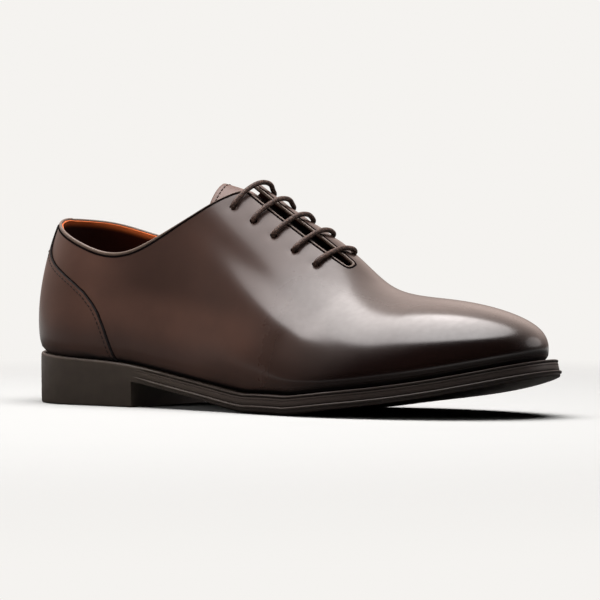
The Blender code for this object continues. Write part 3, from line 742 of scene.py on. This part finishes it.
def add_sheet(mesh, outer, inner, outer_marks=0.0, inner_marks=0.0):
    """A thin solid between two matching sheets of points."""
    over, under = mesh.grid(outer, outer_marks), mesh.grid(inner, inner_marks)
    for first, second in ((over, under), (over.T, under.T)):
        for end in (0, -1):
            mesh.strip(first[end], second[end])


def distance_to(line, sheet):
    """Distance of each point of a sheet from the nearest point of a line."""
    return np.array([np.linalg.norm(row[:, None] - line[None], axis=2).min(axis=1) for row in sheet])


def quarter_round(away, radius):
    """Rises from 0 at an edge to 1 at a distance from it, as a quarter circle does."""
    return np.sqrt(1 - (1 - np.clip(away / radius, 0, 1)) ** 2)


# The upper with its lining, collar and counter

def wall_shares(shares, top):
    """Shares of a section's curve up to its rim. The upper ones give way to the rim first."""
    power = min(max(RIM_CROWDING / max(1 - top, 1e-6), 1.0), RIM_POWER)
    return shares - (1 - top) * shares**power


def make_wall(name, every, outer, inner, *nodes):
    """Two faces of the wall, joined at its lower edge and its rim. every picks the stations. Each face is
    given as shares of a section's curve and a lift."""
    end = int(np.searchsorted(every, RIM_END - 1)) + 1
    mesh = Mesh()
    for side in SIDES:
        outside, inside = (
            mesh.grid([skin(STATIONS[i], side, wall_shares(shares, RIMS[side][i]), lift)[0] for i in every])
            for shares, lift in (outer, inner)
        )
        mesh.strip(outside[:, 0], inside[:, 0])
        mesh.strip(outside[:end, -1], inside[:end, -1])
    return mesh.object(name, name, *nodes)


def make_upper():
    """The outer leather, rolled in over the welt."""
    shares = np.append(runs((0, UPPER_FOOT, 10)), np.linspace(UPPER_FOOT, 1, 64))
    every = np.arange(len(STATIONS))
    return make_wall("upper_leather", every, (shares, 0.0), (shares[::6], -LEATHER), "upper")


def make_lining():
    """The lining, against the leather's inner face."""
    shares = np.linspace(0, 1, 37)
    every = np.unique(np.append(np.arange(0, len(STATIONS), 2), (RIM_END - 1, len(STATIONS) - 1)))
    return make_wall("lining", every, (shares, -LEATHER - LINING_GAP), (shares, -WALL))


def punch(piece):
    """Cuts the lace holes through a piece."""
    mesh = Mesh()
    for side in SIDES:
        for place, out in EYELETS[side]:
            path = [place - 3 * WALL * out, place + 2 * WALL * out]
            sweep(mesh, path, [np.cross(out, FORWARD)] * 2, oval(EYELET_RADIUS, EYELET_RADIUS, 24))
    tool = mesh.object("punch", "upper_leather")
    cut = piece.modifiers.new("holes", "BOOLEAN")
    cut.solver = "EXACT"
    cut.object = tool
    shown = piece.evaluated_get(bpy.context.evaluated_depsgraph_get())
    punched = bpy.data.meshes.new_from_object(shown)
    piece.modifiers.remove(cut)
    piece.data = punched
    bpy.data.objects.remove(tool)
    smooth(punched)


def rim_path():
    """The rim of collar and slit as one closed loop: its points and outward directions."""
    lateral, medial = (
        np.array([skin(w, side, top) for w, top in zip(STATIONS[:RIM_END], RIMS[side])])[:, :, 0]
        for side in SIDES
    )
    loop = np.concatenate((lateral[::-1], medial[1:]))
    points, normals = even(RIM_STEP, loop[:, 0], loop[:, 1])
    return points[:-1], normalised(normals)[:-1]


def make_collar():
    """The rolled binding of the rim, and the dark sewn line just under it: edge dye and painted shade."""
    points, normals = rim_path()
    along = points[:, 0] / LENGTH
    widths = 1 - (1 - BINDING_NARROW) * smoothstep(along, *BINDING_TAPER)
    widths += SLIT_WIDER * smoothstep(along, *SLIT_BINDING)
    binding, line = Mesh(), Mesh()
    sweep(binding, points, normals, oval(*BINDING_OVAL), True, widths)
    beside = (RIM_LINE * widths)[:, None] * np.cross(normals, ahead(points, True))
    sweep(line, points + beside, normals, oval(*RIM_LINE_OVAL), True)
    return (
        binding.object("collar_binding", "upper_leather"),
        line.object("collar_line", "upper_leather"),
    )


def heel_path(side):
    """Stations round the heel, and their distances from its back."""
    stations = np.linspace(0, 1.6, 400)
    path = np.array([edge_point(w, side)[0] for w in stations])
    return lengths_along(path), stations


def counter_height(reaches):
    """The counter's top edge, with its corners eased."""
    rows = np.array(COUNTER_ROWS)
    shifts = np.linspace(-COUNTER_EASE, COUNTER_EASE, 9)
    return np.mean([np.interp(reaches + shift, *rows.T) for shift in shifts], axis=0)


def make_counter():
    """The overlay round the heel with its cut edge, its stitch row, and a dark line of edge dye and painted
    shade.
    """
    reaches = np.append(runs((0, 14, 15), (14, 24, 61)), np.linspace(24, 85, 90)) * MM
    heights = counter_height(reaches)
    rows = 1 - np.linspace(0, 1, 34) ** 2.2
    halves = []
    for side in SIDES:
        stations = np.interp(reaches, *heel_path(side))
        halves.append(np.array([
            skin(w, side, rows * height * rim(w, side)) for w, height in zip(stations, heights)
        ]))
    face, out = np.concatenate((halves[0][:0:-1], halves[1])).swapaxes(0, 1)
    away = distance_to(even(0.3 * MM, face[:, 0])[0], face)
    lift = COUNTER_LIFT * quarter_round(away, COUNTER_EDGE)
    inked = 1 - smoothstep(away, 0.5 * COUNTER_INK, COUNTER_INK)
    mesh, thread, line = Mesh(), Mesh(), Mesh()
    add_sheet(mesh, face + lift[..., None] * out, face - COUNTER_SUNK * out, inked, 1.0)
    start = int(np.searchsorted(reaches, STITCH_START))
    for half in halves:
        path, normals = even(0.5 * MM, half[start:, 0, 0], half[start:, 1, 0])
        inward = np.cross(normals, ahead(path))
        inward *= np.sign(np.sum(inward * (half[start + 4, 0, 12] - half[start + 4, 0, 0])))
        sew(thread, path + STITCH_INSET * inward + STITCH_HEIGHT * normals, normals)
    path, normals = even(0.5 * MM, face[:, 0], out[:, 0])
    sweep(line, path, normals, oval(*COUNTER_LINE_OVAL))
    return (
        mesh.object("counter_leather", "upper_leather", "heel_counter"),
        thread.object("counter_stitches", "upper_leather"),
        line.object("counter_line", "upper_leather"),
    )


# Tongue and lace

def tongue_row(along, shares):
    """Points and outward directions across the tongue at a place along it."""
    left = (along - TONGUE_TOP) * LENGTH / TONGUE_ROUND
    corner = math.sqrt(max(1 - (1 - min(left, 1)) ** 2, 0))
    half = TONGUE_HALF * (TONGUE_END + (1 - TONGUE_END) * corner)
    room = float(np.interp(along, (EYELET_LAST, TONGUE_FRONT), (TONGUE_LACE_ROOM, GAP)))
    lean = TONGUE_LEAN * max(EYELET_FIRST - along, 0) / (EYELET_FIRST - TONGUE_TOP)
    found = [beside_crest(along, share * half) for share in shares]
    back = lean * beside_crest(along, 0.0)[1]
    points = np.array([point - (WALL + room) * normal - back for point, normal in found])
    return points, np.array([normal for _, normal in found])


def make_tongue():
    """The tongue with eased edges, and the stitch row round its top."""
    shares = np.sin(np.linspace(-1, 1, 33) * math.pi / 2)
    tip = TONGUE_TOP + TONGUE_TIP * np.linspace(1, 0, 22) ** 2
    alongs = np.append(runs((TONGUE_FRONT, TONGUE_TOP + TONGUE_TIP, 30)), tip)
    face, out = np.array([tongue_row(along, shares) for along in alongs]).swapaxes(0, 1)
    border = np.concatenate((face[:, 0], face[-1], face[::-1, -1]))
    away = distance_to(even(0.4 * MM, border)[0], face)
    half = (0.5 * TONGUE * (TONGUE_EDGE + (1 - TONGUE_EDGE) * quarter_round(away, 0.5 * TONGUE)))[..., None]
    middle = face - 0.5 * TONGUE * out
    mesh, thread = Mesh(), Mesh()
    add_sheet(mesh, middle + half * out, middle - half * out)
    inset = TONGUE_STITCH_INSET / TONGUE_HALF
    first = np.searchsorted(-alongs, -(TONGUE_TOP + TONGUE_STITCHED))
    left, right = ([tongue_row(a, [s * (1 - inset / TONGUE_END)]) for a in alongs[first:-9]] for s in SIDES)
    top = TONGUE_TOP + TONGUE_STITCH_INSET / LENGTH
    tops = [tongue_row(top, [s]) for s in np.linspace(-TONGUE_END, TONGUE_END, 15)]
    row = np.array(left + tops + right[::-1])[:, :, 0]
    sew(thread, row[:, 0], row[:, 1])
    return (
        mesh.object("tongue_leather", "upper_leather", "tongue"),
        thread.object("tongue_stitches", "upper_leather"),
    )


def lace_bar(row):
    """The middle line of a bar over the throat, from the outer to the inner side, holes left out."""
    along = EYELET_ALONGS[row]
    reach = throat_half(along) + EYELET_INSET
    arch = LACE_ARCH * (EYELET_LAST - along) / (EYELET_LAST - EYELET_FIRST)
    path = []
    for share in np.linspace(-LACE_BEND, LACE_BEND, 13):
        point, normal = lacing_place(along, share, reach)
        run = LACE_BEND + (LACE_PEAK if share < LACE_PEAK else -LACE_PEAK)
        lift = LACE_RADIUS + GAP + arch * (1 - ((share - LACE_PEAK) / run) ** 2)
        path.append(point + lift * normal)
    return path


def through(row, side):
    """The lace's way down through a hole."""
    place, out = EYELETS[side][row]
    return [place + depth * out for depth in (0.6 * LACE_RADIUS, -0.5 * WALL, -HIDDEN_DEPTH)]


def hidden(first, last, side, inset):
    """A run under a facing between two rows, at a distance from the slit's edge."""
    path = []
    for along in np.linspace(EYELET_ALONGS[first], EYELET_ALONGS[last], 4 * abs(last - first) + 1):
        point, normal = lacing_place(along, side, throat_half(along) + inset)
        path.append(point - HIDDEN_DEPTH * normal)
    return path


def lace_route():
    """One cord through all the holes: it starts and ends inside at the top row."""
    bottom = EYELET_ROWS - 1
    route = hidden(0, bottom, LATERAL, LACE_START_INSET)[:-1]
    side = LATERAL
    for row in range(bottom, -1, -1):
        bar = lace_bar(row)
        if side == MEDIAL:
            bar = bar[::-1]
        route += through(row, side)[::-1] + bar + through(row, -side)
        side = -side
        if row:
            route += hidden(row, row - 1, side, EYELET_INSET)[1:-1]
    return np.array(route)


def curved(points, steps):
    """A smooth curve through points, with a number of steps between each two."""
    padded = np.vstack((2 * points[0] - points[1], points, 2 * points[-1] - points[-2]))
    u = np.linspace(0, 1, steps, endpoint=False)[:, None]
    pieces = []
    for a, b, c, d in zip(padded, padded[1:], padded[2:], padded[3:]):
        pieces.append(
            b + 0.5 * u * (c - a) + u**2 * (a - 2.5 * b + 2 * c - 0.5 * d)
            + u**3 * (1.5 * (b - c) + 0.5 * (d - a))
        )
    return np.vstack((*pieces, points[-1:]))


def make_lace():
    """The cord, and its length."""
    path = even(0.55 * MM, curved(lace_route(), 6))[0]
    heading = ahead(path)
    out = np.cross(heading[0], FORWARD)
    rings, turns = [], np.linspace(0, 2 * math.pi, LACE_SIDES + 1)
    for point, way in zip(path, heading):
        out = out - np.dot(out, way) * way
        out /= np.linalg.norm(out)
        across = np.cross(way, out)
        rings.append([point + LACE_RADIUS * (math.cos(a) * out + math.sin(a) * across) for a in turns])
    mesh = Mesh()
    mesh.cap(mesh.grid(rings))
    made = mesh.object("lace", "lace", *(f"lace_bar_{i}" for i in range(1, EYELET_ROWS + 1)))
    return made, float(lengths_along(path)[-1])


# The sole

def sole_reach(along, side):
    return SOLE["reach_lateral" if side == LATERAL else "reach_medial"](along)


def shaped(along):
    """How far the sole's edge is shaped: not at all round the heel, fully in front of it."""
    u = float(np.clip((along - HEEL_BREAST) / RIB_START, 0, 1))
    return u * u * (3 - 2 * u)


BREAST = body_station(HEEL_BREAST)
SOLE_STATIONS = np.append(
    runs((0, 1, HEEL_POINTS), (1, BREAST, BREAST_POINTS), (BREAST, 2, 110)),
    3 - (1 - np.linspace(0, 1, 48)) ** 1.5,
)
HEEL_COUNT = HEEL_POINTS - 1 + BREAST_POINTS


def ring(reach, height, count=None):
    """Rows of points round the last, lateral and medial, from reach(along, side) and height(x)."""
    rows = []
    for w in SOLE_STATIONS[:count]:
        pair = []
        for side in SIDES:
            foot = edge_point(w, side)[0]
            x, y = foot + reach(foot[0] / LENGTH, side) * edge_normal(w, side)
            pair.append((x, y, height(x)))
        rows.append(pair)
    return np.array(rows)


def across(rows, steps):
    """Rows of points from the lateral to the medial side."""
    shares = np.linspace(0, 1, steps + 1)[None, :, None]
    return rows[:, :1] * (1 - shares) + rows[:, 1:] * shares


def edge_rings(table, top):
    """Rings of the sole's edge, each from a row of its table."""
    rings = []
    for row in table:
        def reach(along, side):
            share = shaped(along)
            return sole_reach(along, side) + share * row.shaped + (1 - share) * row.plain

        rings.append(ring(reach, lambda x: top(x) - row.drop))
    return rings


def add_sides(mesh, rings):
    for side in (0, 1):
        mesh.grid([points[:, side] for points in rings])


def add_plate(mesh, rings, steps=(8, 8)):
    """A plate from rings of points: its edge, and its two faces in steps across."""
    add_sides(mesh, rings)
    for points, count in zip((rings[0], rings[-1]), steps):
        mesh.grid(across(points, count))


def make_welt():
    def top(x):
        return seat(x) - GAP

    inner = [ring(lambda along, side: -WELT_WIDTH, lambda x: top(x) - drop) for drop in (WELT, 0.0)]
    rings = edge_rings(WELT_EDGE, top)
    mesh = Mesh()
    add_sides(mesh, [*rings, *inner, rings[0]])
    return mesh.object("welt_strip", "sole", "welt")


def make_outsole():
    def top(x):
        return sole_lift(x) + outsole_thickness(x)

    def underside(along, side):
        extra = max(SOLE["outsole"](along) - OUTSOLE_EDGE[-1].drop, 0)
        return sole_reach(along, side) - (OUTSOLE_DRAW_IN * extra + UNDERSIDE_IN) * shaped(along)

    mesh = Mesh()
    add_plate(mesh, [*edge_rings(OUTSOLE_EDGE, top), ring(underside, sole_lift)])
    return mesh.object("outsole_rubber", "sole", "outsole")


def make_heel():
    """The block under the heel, with an eased foot."""
    rings = [ring(sole_reach, sole_lift, HEEL_COUNT)]
    for draw_in, height in HEEL_FOOT:
        def reach(along, side):
            return sole_reach(along, side) - HEEL_TAPER - draw_in

        rings.append(ring(reach, lambda x: height, HEEL_COUNT))
    for points in rings:
        points[-1, :, 0] = HEEL_BREAST * LENGTH
    mesh = Mesh()
    add_plate(mesh, rings)
    mesh.grid([across(points, 8)[-1] for points in rings])
    return mesh.object("heel_block", "sole", "heel")


def make_insole():
    """The inner sole with an eased edge."""
    inset = TUCK + WALL + 2 * GAP
    rings = [ring(lambda along, side: -inset, seat)]
    for draw_in, drop in INSOLE_EASE:
        rings.append(ring(lambda along, side: -inset - draw_in, lambda x: seat(x) + INSOLE - drop))
    mesh = Mesh()
    add_plate(mesh, rings, (8, 16))
    return mesh.object("insole_sock", "lining", "insole")


# Materials

def feed(tree, node, inputs):
    """Sets a node's inputs, which are values or other nodes' outputs."""
    for name, value in dict(inputs).items():
        socket = node.inputs[name]
        if isinstance(value, bpy.types.NodeSocket):
            tree.links.new(value, socket)
        else:
            socket.default_value = (*value, 1) if socket.type == "RGBA" else value


def put(tree, kind, inputs=(), **settings):
    """Adds a node with its settings and inputs."""
    made = tree.nodes.new("ShaderNode" + kind)
    for name, value in settings.items():
        setattr(made, name, value)
    feed(tree, made, inputs)
    return made


def blank(name):
    """A material with its shader, and the places of its surface in metres."""
    made = bpy.data.materials.new(name)
    made.use_nodes = True
    tree = made.node_tree
    place = put(tree, "TexCoord").outputs["Object"]
    return made, tree, tree.nodes["Principled BSDF"], place


def noise(tree, place, scale, detail=2.0):
    return put(tree, "TexNoise", {"Vector": place, "Scale": scale, "Detail": detail}).outputs["Fac"]


def cells(tree, place, scale):
    return put(tree, "TexVoronoi", {"Vector": place, "Scale": scale}).outputs["Distance"]


def maths(tree, operation, *values):
    return put(tree, "Math", enumerate(values), operation=operation).outputs[0]


def vectors(tree, operation, output, *values):
    return put(tree, "VectorMath", enumerate(values), operation=operation).outputs[output]


def blend(tree, share, first, second):
    """A number between two others."""
    return put(tree, "Mix", {0: share, 2: first, 3: second}, data_type="FLOAT").outputs[0]


def blend_colours(tree, share, first, second, mode="MIX"):
    made = put(tree, "Mix", {0: share, 6: first, 7: second}, data_type="RGBA", blend_type=mode)
    return made.outputs[2]


def between(tree, value, low, high, out_low, out_high):
    inputs = {"Value": value, "From Min": low, "From Max": high, "To Min": out_low, "To Max": out_high}
    return put(tree, "MapRange", inputs, interpolation_type="SMOOTHSTEP").outputs["Result"]


def cloud(tree, place, scale, detail, low, high, spread=NOISE_SPREAD):
    """Noise that runs between two values."""
    return between(tree, noise(tree, place, scale, detail), *spread, low, high)


def attribute(tree, name):
    return put(tree, "Attribute", attribute_name=name).outputs["Fac"]


def bump(tree, height, distance, below=None):
    inputs = {"Height": height, "Distance": distance, "Strength": 1.0}
    if below is not None:
        inputs["Normal"] = below
    return put(tree, "Bump", inputs).outputs["Normal"]


def calf(name, body, burnished, matt, polished):
    """Smooth calf: mottled dye, darker where it is burnished, waxed where it is polished, fine pores."""
    made, tree, shader, place = blank(name)
    darkening, ink_and_shade, polish = (attribute(tree, marked) for marked in ("darkening", "mark", "polish"))
    mottle = cloud(tree, place, *DYE_MOTTLE)
    grey = put(tree, "CombineColor", dict.fromkeys(("Red", "Green", "Blue"), mottle))
    # towards the burnished colour, less up the quarter where the painted sheen lightens it
    dyed = blend_colours(tree, darkening, body, burnished)
    colour = blend_colours(tree, 1.0, dyed, grey.outputs["Color"], "MULTIPLY")
    rough = between(tree, polish, 0, 1, matt, polished)
    rough = maths(tree, "ADD", rough, cloud(tree, place, *CALF_DULLNESS))
    grain = bump(tree, noise(tree, place, *CALF_GRAIN), CALF_GRAIN_DEPTH)
    wax = maths(tree, "MULTIPLY", polish, cloud(tree, place, *WAX_CLOUDS))
    feed(tree, shader, {
        # marked places turn near black: the counter's inked edge, and painted shade
        "Base Color": blend_colours(tree, ink_and_shade, colour, INK_AND_SHADE),
        "Roughness": blend(tree, ink_and_shade, rough, INK_AND_SHADE_ROUGHNESS),
        "Normal": bump(tree, cells(tree, place, PORES), PORE_DEPTH, grain),
        "Coat Weight": maths(tree, "MULTIPLY", wax, maths(tree, "SUBTRACT", 1.0, ink_and_shade)),
        "Coat Roughness": 0.15,
        "Specular IOR Level": 0.22,
    })
    return made


def plain_leather(name, colour, dark, painted_shade, roughness, gloss, grain, depth):
    """Uncoated or edge leather: mottled, with a nap or grain, and a painted shade colour where it is marked.
    """
    made, tree, shader, place = blank(name)
    mottled = blend_colours(tree, cloud(tree, place, *NAP_MOTTLE), dark, colour)
    smoother, rougher = roughness - ROUGHNESS_SWING, roughness + ROUGHNESS_SWING
    feed(tree, shader, {
        "Base Color": blend_colours(tree, attribute(tree, "mark"), mottled, painted_shade),
        "Roughness": cloud(tree, place, 300, 2, smoother, rougher),
        "Normal": bump(tree, noise(tree, place, grain, 4), depth),
        "Specular IOR Level": gloss,
    })
    return made


def sole_edge(name, colour, dark, front):
    """Moulded and dressed sole edge: satin, with fine lines and dull clouds, darker in front of the heel."""
    made, tree, shader, place = blank(name)
    stretched = put(tree, "Mapping", {"Vector": place, "Scale": SOLE_LINES}).outputs["Vector"]
    heel = blend_colours(tree, cloud(tree, place, *SOLE_MOTTLE), dark, colour)
    feed(tree, shader, {
        "Base Color": blend_colours(tree, attribute(tree, "darkening"), heel, front),
        "Roughness": cloud(tree, place, *SOLE_ROUGHNESS),
        "Normal": bump(tree, noise(tree, stretched, 1.0, 3), SOLE_LINE_DEPTH),
        "Specular IOR Level": 0.25,
    })
    return made


def waxed_cord(name, colour, dark):
    """Round waxed cord: small rounded strands, with painted shade between them."""
    made, tree, shader, place = blank(name)
    strands = cells(tree, place, STRANDS)
    feed(tree, shader, {
        "Base Color": blend_colours(tree, between(tree, strands, 0.1, 0.6, 1, 0), dark, colour),
        "Roughness": 0.5,
        "Normal": bump(tree, strands, STRAND_DEPTH),
        "Specular IOR Level": PLAIN_GLOSS,
    })
    return made


def sewing_thread(name, colour, dark):
    made, tree, shader, place = blank(name)
    feed(tree, shader, {
        "Base Color": blend_colours(tree, noise(tree, place, *TWIST), dark, colour),
        "Roughness": 0.6,
        "Specular IOR Level": PLAIN_GLOSS,
    })
    return made


# Marks that the materials read

def places_of(piece):
    """A piece's points in the last's own frame."""
    points = piece.data.vertices
    places = np.empty(3 * len(points), dtype=np.float32)
    points.foreach_get("co", places)
    return places.reshape(-1, 3) - PLACE


def mark(piece, name, values):
    """Sets a value at each point of a piece, for its material to read."""
    marks = piece.data.attributes
    made = marks.get(name) or marks.new(name, "FLOAT", "POINT")
    made.data.foreach_set("value", np.asarray(values, dtype=np.float32))


def over_seat(places):
    """Height of points over the top of the welt below them."""
    stations = np.linspace(places[:, 0].min(), places[:, 0].max(), 400)
    return places[:, 2] - np.interp(places[:, 0], stations, [seat(x) for x in stations])


def finish_leather(piece):
    """Marks the burnished and polished leather: a painted sheen up the quarter, dull along the ridge."""
    places = places_of(piece)
    along, over = places[:, 0] / LENGTH, over_seat(places)
    # painted sheen: a lighter band up the quarter that stands for a soft reflection, left out in the wedge
    pale = smoothstep(over, *PAINTED_SHEEN_RISES) * (1 - smoothstep(along, *PAINTED_SHEEN_ENDS))
    pale *= 1 - smoothstep(along, *WEDGE_ALONG) * smoothstep(over, *WEDGE_OVER)
    dye = DYED * (1 - pale)
    mark(piece, "darkening", dye + (1 - dye) * smoothstep(along, *BURNISH))
    polish = POLISHED + sum(rise * smoothstep(along, low, high) for low, high, rise in POLISH_RISES)
    ridge = np.array([LAST["ridge"](min(a, TOE_START)) for a in np.linspace(0, 1, 200)]) * BALL_WIDTH
    beside = np.abs(places[:, 1] - np.interp(along, np.linspace(0, 1, 200), ridge))
    mark(piece, "polish", polish * (1 - RIDGE_DULL * (1 - smoothstep(beside, *RIDGE_REACH))))


def shade_crevice(piece):
    """Adds painted shade in the crevice where the leather meets the welt to what is marked already."""
    marked = np.zeros(len(piece.data.vertices), dtype=np.float32)
    if "mark" in piece.data.attributes:
        piece.data.attributes["mark"].data.foreach_get("value", marked)
    over = over_seat(places_of(piece))
    mark(piece, "mark", np.maximum(marked, 1 - smoothstep(over, *CREVICE_SHADE)))


def shade_tongue(tongue):
    """Paints shade on the tongue under the slit, but for its top and the slit's very end."""
    along = places_of(tongue)[:, 0] / LENGTH
    mark(tongue, "mark", smoothstep(along, *SLIT_DARKENS) * (1 - smoothstep(along, *SLIT_LIGHTENS)))


def shade_lining(lining):
    """Paints shade on the lining, deeper the further it lies below the collar, and full under the facings.
    """
    places = places_of(lining)
    shares = places[:, 0] / LENGTH
    rims = np.array([COLLAR[LATERAL if y < 0 else MEDIAL](a) for a, y in zip(shares, places[:, 1])])
    below = rims * INSTEP_HEIGHT - places[:, 2]
    mark(lining, "mark", np.maximum(smoothstep(below, *SHADE), smoothstep(shares, *FACINGS_SHADE)))


def dress(material, *made):
    for piece in made:
        piece.data.materials.clear()
        piece.data.materials.append(material)


# Stage, light and camera

def make_floor():
    """A pale floor that takes the shoe's shadow near it and melts into the backdrop further off."""
    mesh = bpy.data.meshes.new("floor")
    work = bmesh.new()
    bmesh.ops.create_circle(work, cap_ends=True, segments=96, radius=FLOOR_RADIUS)
    work.to_mesh(mesh)
    work.free()
    floor = add_object("floor", mesh)
    floor.location.z = -FLOOR_DROP
    made, tree, shader, place = blank("floor")
    mirrored = put(tree, "LightPath").outputs["Is Glossy Ray"]
    feed(tree, shader, {
        "Base Color": blend_colours(tree, mirrored, FLOOR_COLOUR, FLOOR_MIRRORED),
        "Roughness": 0.9,
        "Specular IOR Level": 0.0,
    })
    share = between(tree, vectors(tree, "LENGTH", "Value", place), *FLOOR_FADE, 0, 1)
    glow = put(tree, "Emission", {"Color": BACKDROP, "Strength": 1.0}).outputs[0]
    both = put(tree, "MixShader", {0: share, 1: shader.outputs[0], 2: glow}).outputs[0]
    tree.links.new(both, tree.nodes["Material Output"].inputs["Surface"])
    mesh.materials.append(made)


def make_world():
    """A pale backdrop for the camera; the shoe sees a bright sweep behind it and a dark room in front."""
    world = bpy.data.worlds.new("studio")
    bpy.context.scene.world = world
    world.use_nodes = True
    world.cycles_visibility.diffuse = False
    tree = world.node_tree
    way = put(tree, "TexCoord").outputs["Generated"]
    far = vectors(tree, "DOT_PRODUCT", "Value", way, FAR_WAY)
    light = between(tree, far, *FAR_TURN, NEAR_LIGHT, FAR_LIGHT)
    high = put(tree, "SeparateXYZ", {0: way}).outputs["Z"]
    light = maths(tree, "MULTIPLY", light, between(tree, high, *HORIZON, HORIZON_LIGHT, 1.0))
    sees = put(tree, "LightPath").outputs["Is Camera Ray"]
    feed(tree, tree.nodes["Background"], {
        "Color": blend_colours(tree, sees, ROOM_COLOUR, BACKDROP),
        "Strength": blend(tree, sees, light, 1.0),
    })


def soften(light):
    """Fades a panel's light towards its rim."""
    light.use_nodes = True
    tree = light.node_tree
    place = put(tree, "NewGeometry").outputs["Parametric"]
    middle = vectors(tree, "SUBTRACT", "Vector", place, (0.5, 0.5, 0.0))
    away = vectors(tree, "LENGTH", "Value", vectors(tree, "MULTIPLY", "Vector", middle, (2.0, 2.0, 0.0)))
    feed(tree, tree.nodes["Emission"], {"Strength": between(tree, away, PANEL_FADE, 1.0, 1.0, 0.0)})


def make_lights():
    for row in PANELS:
        light = bpy.data.lights.new(row.name, "AREA")
        light.shape = row.shape
        light.size, light.size_y = row.size
        light.energy = row.power
        light.color = LIGHT_COLOUR
        soften(light)
        lamp = add_object(row.name, light)
        lamp.location = row.place
        lamp.rotation_euler = aimed(row.place, row.aim)
        lamp.visible_camera = False
        lamp.visible_diffuse = row.diffuse
        lamp.visible_glossy = row.glossy


def aimed(place, target):
    """The turn that points a light from a place to a target."""
    return (Vector(target) - Vector(place)).to_track_quat("-Z", "Y").to_euler()


def make_camera():
    data = bpy.data.cameras.new("camera")
    data.lens = CAMERA_LENS
    data.sensor_width = CAMERA_SENSOR
    data.clip_end = 100
    camera = add_object("camera", data)
    camera.location = CAMERA_PLACE
    camera.rotation_euler = CAMERA_TURN
    bpy.context.scene.camera = camera


def main():
    make_camera()
    upper, lining = make_upper(), make_lining()
    punch(upper)
    punch(lining)
    binding, line = make_collar()
    counter, counter_thread, counter_line = make_counter()
    tongue, tongue_thread = make_tongue()
    lace, lace_length = make_lace()
    soles = (make_welt(), make_outsole(), make_heel())
    insole = make_insole()
    print("lace length", round(lace_length, 4))
    for piece in (upper, counter, tongue, binding):
        finish_leather(piece)
    for piece in soles:
        mark(piece, "darkening", smoothstep(places_of(piece)[:, 0] / LENGTH, *SOLE_DARKENS))
    # painted shade in the crevice over the welt
    shade_crevice(upper)
    shade_crevice(counter)
    shade_tongue(tongue)
    shade_lining(lining)
    # painted shade over the whole insole
    mark(insole, "mark", np.ones(len(insole.data.vertices)))
    dress(calf("calf", *CALF, matt=0.34, polished=0.10), upper, counter)
    dress(calf("tongue_calf", TONGUE_CALF, TONGUE_CALF, matt=0.42, polished=0.42), tongue)
    dress(calf("binding_calf", BINDING_CALF, BINDING_CALF, matt=0.40, polished=0.40), binding)
    # the dark lines along the collar and the counter: edge dye and painted shade of the groove and crevice
    ink_and_shade = plain_leather("edge_ink_and_shade", *EDGE_INK_AND_SHADE, roughness=0.8, gloss=0.0, grain=900, depth=0.02 * MM)
    dress(ink_and_shade, line, counter_line)
    tan = plain_leather(
        "lining_leather", *LINING_TAN, roughness=0.55, gloss=PLAIN_GLOSS, grain=700, depth=0.06 * MM)
    dress(tan, lining, insole)
    dress(sole_edge("sole_edge", *SOLE_BROWN), *soles)
    dress(waxed_cord("waxed_cord", *CORD_BROWN), lace)
    dress(sewing_thread("thread", *THREAD), counter_thread, tongue_thread)
    make_floor()
    make_world()
    make_lights()
    bpy.context.scene.view_settings.view_transform = "Standard"


main()
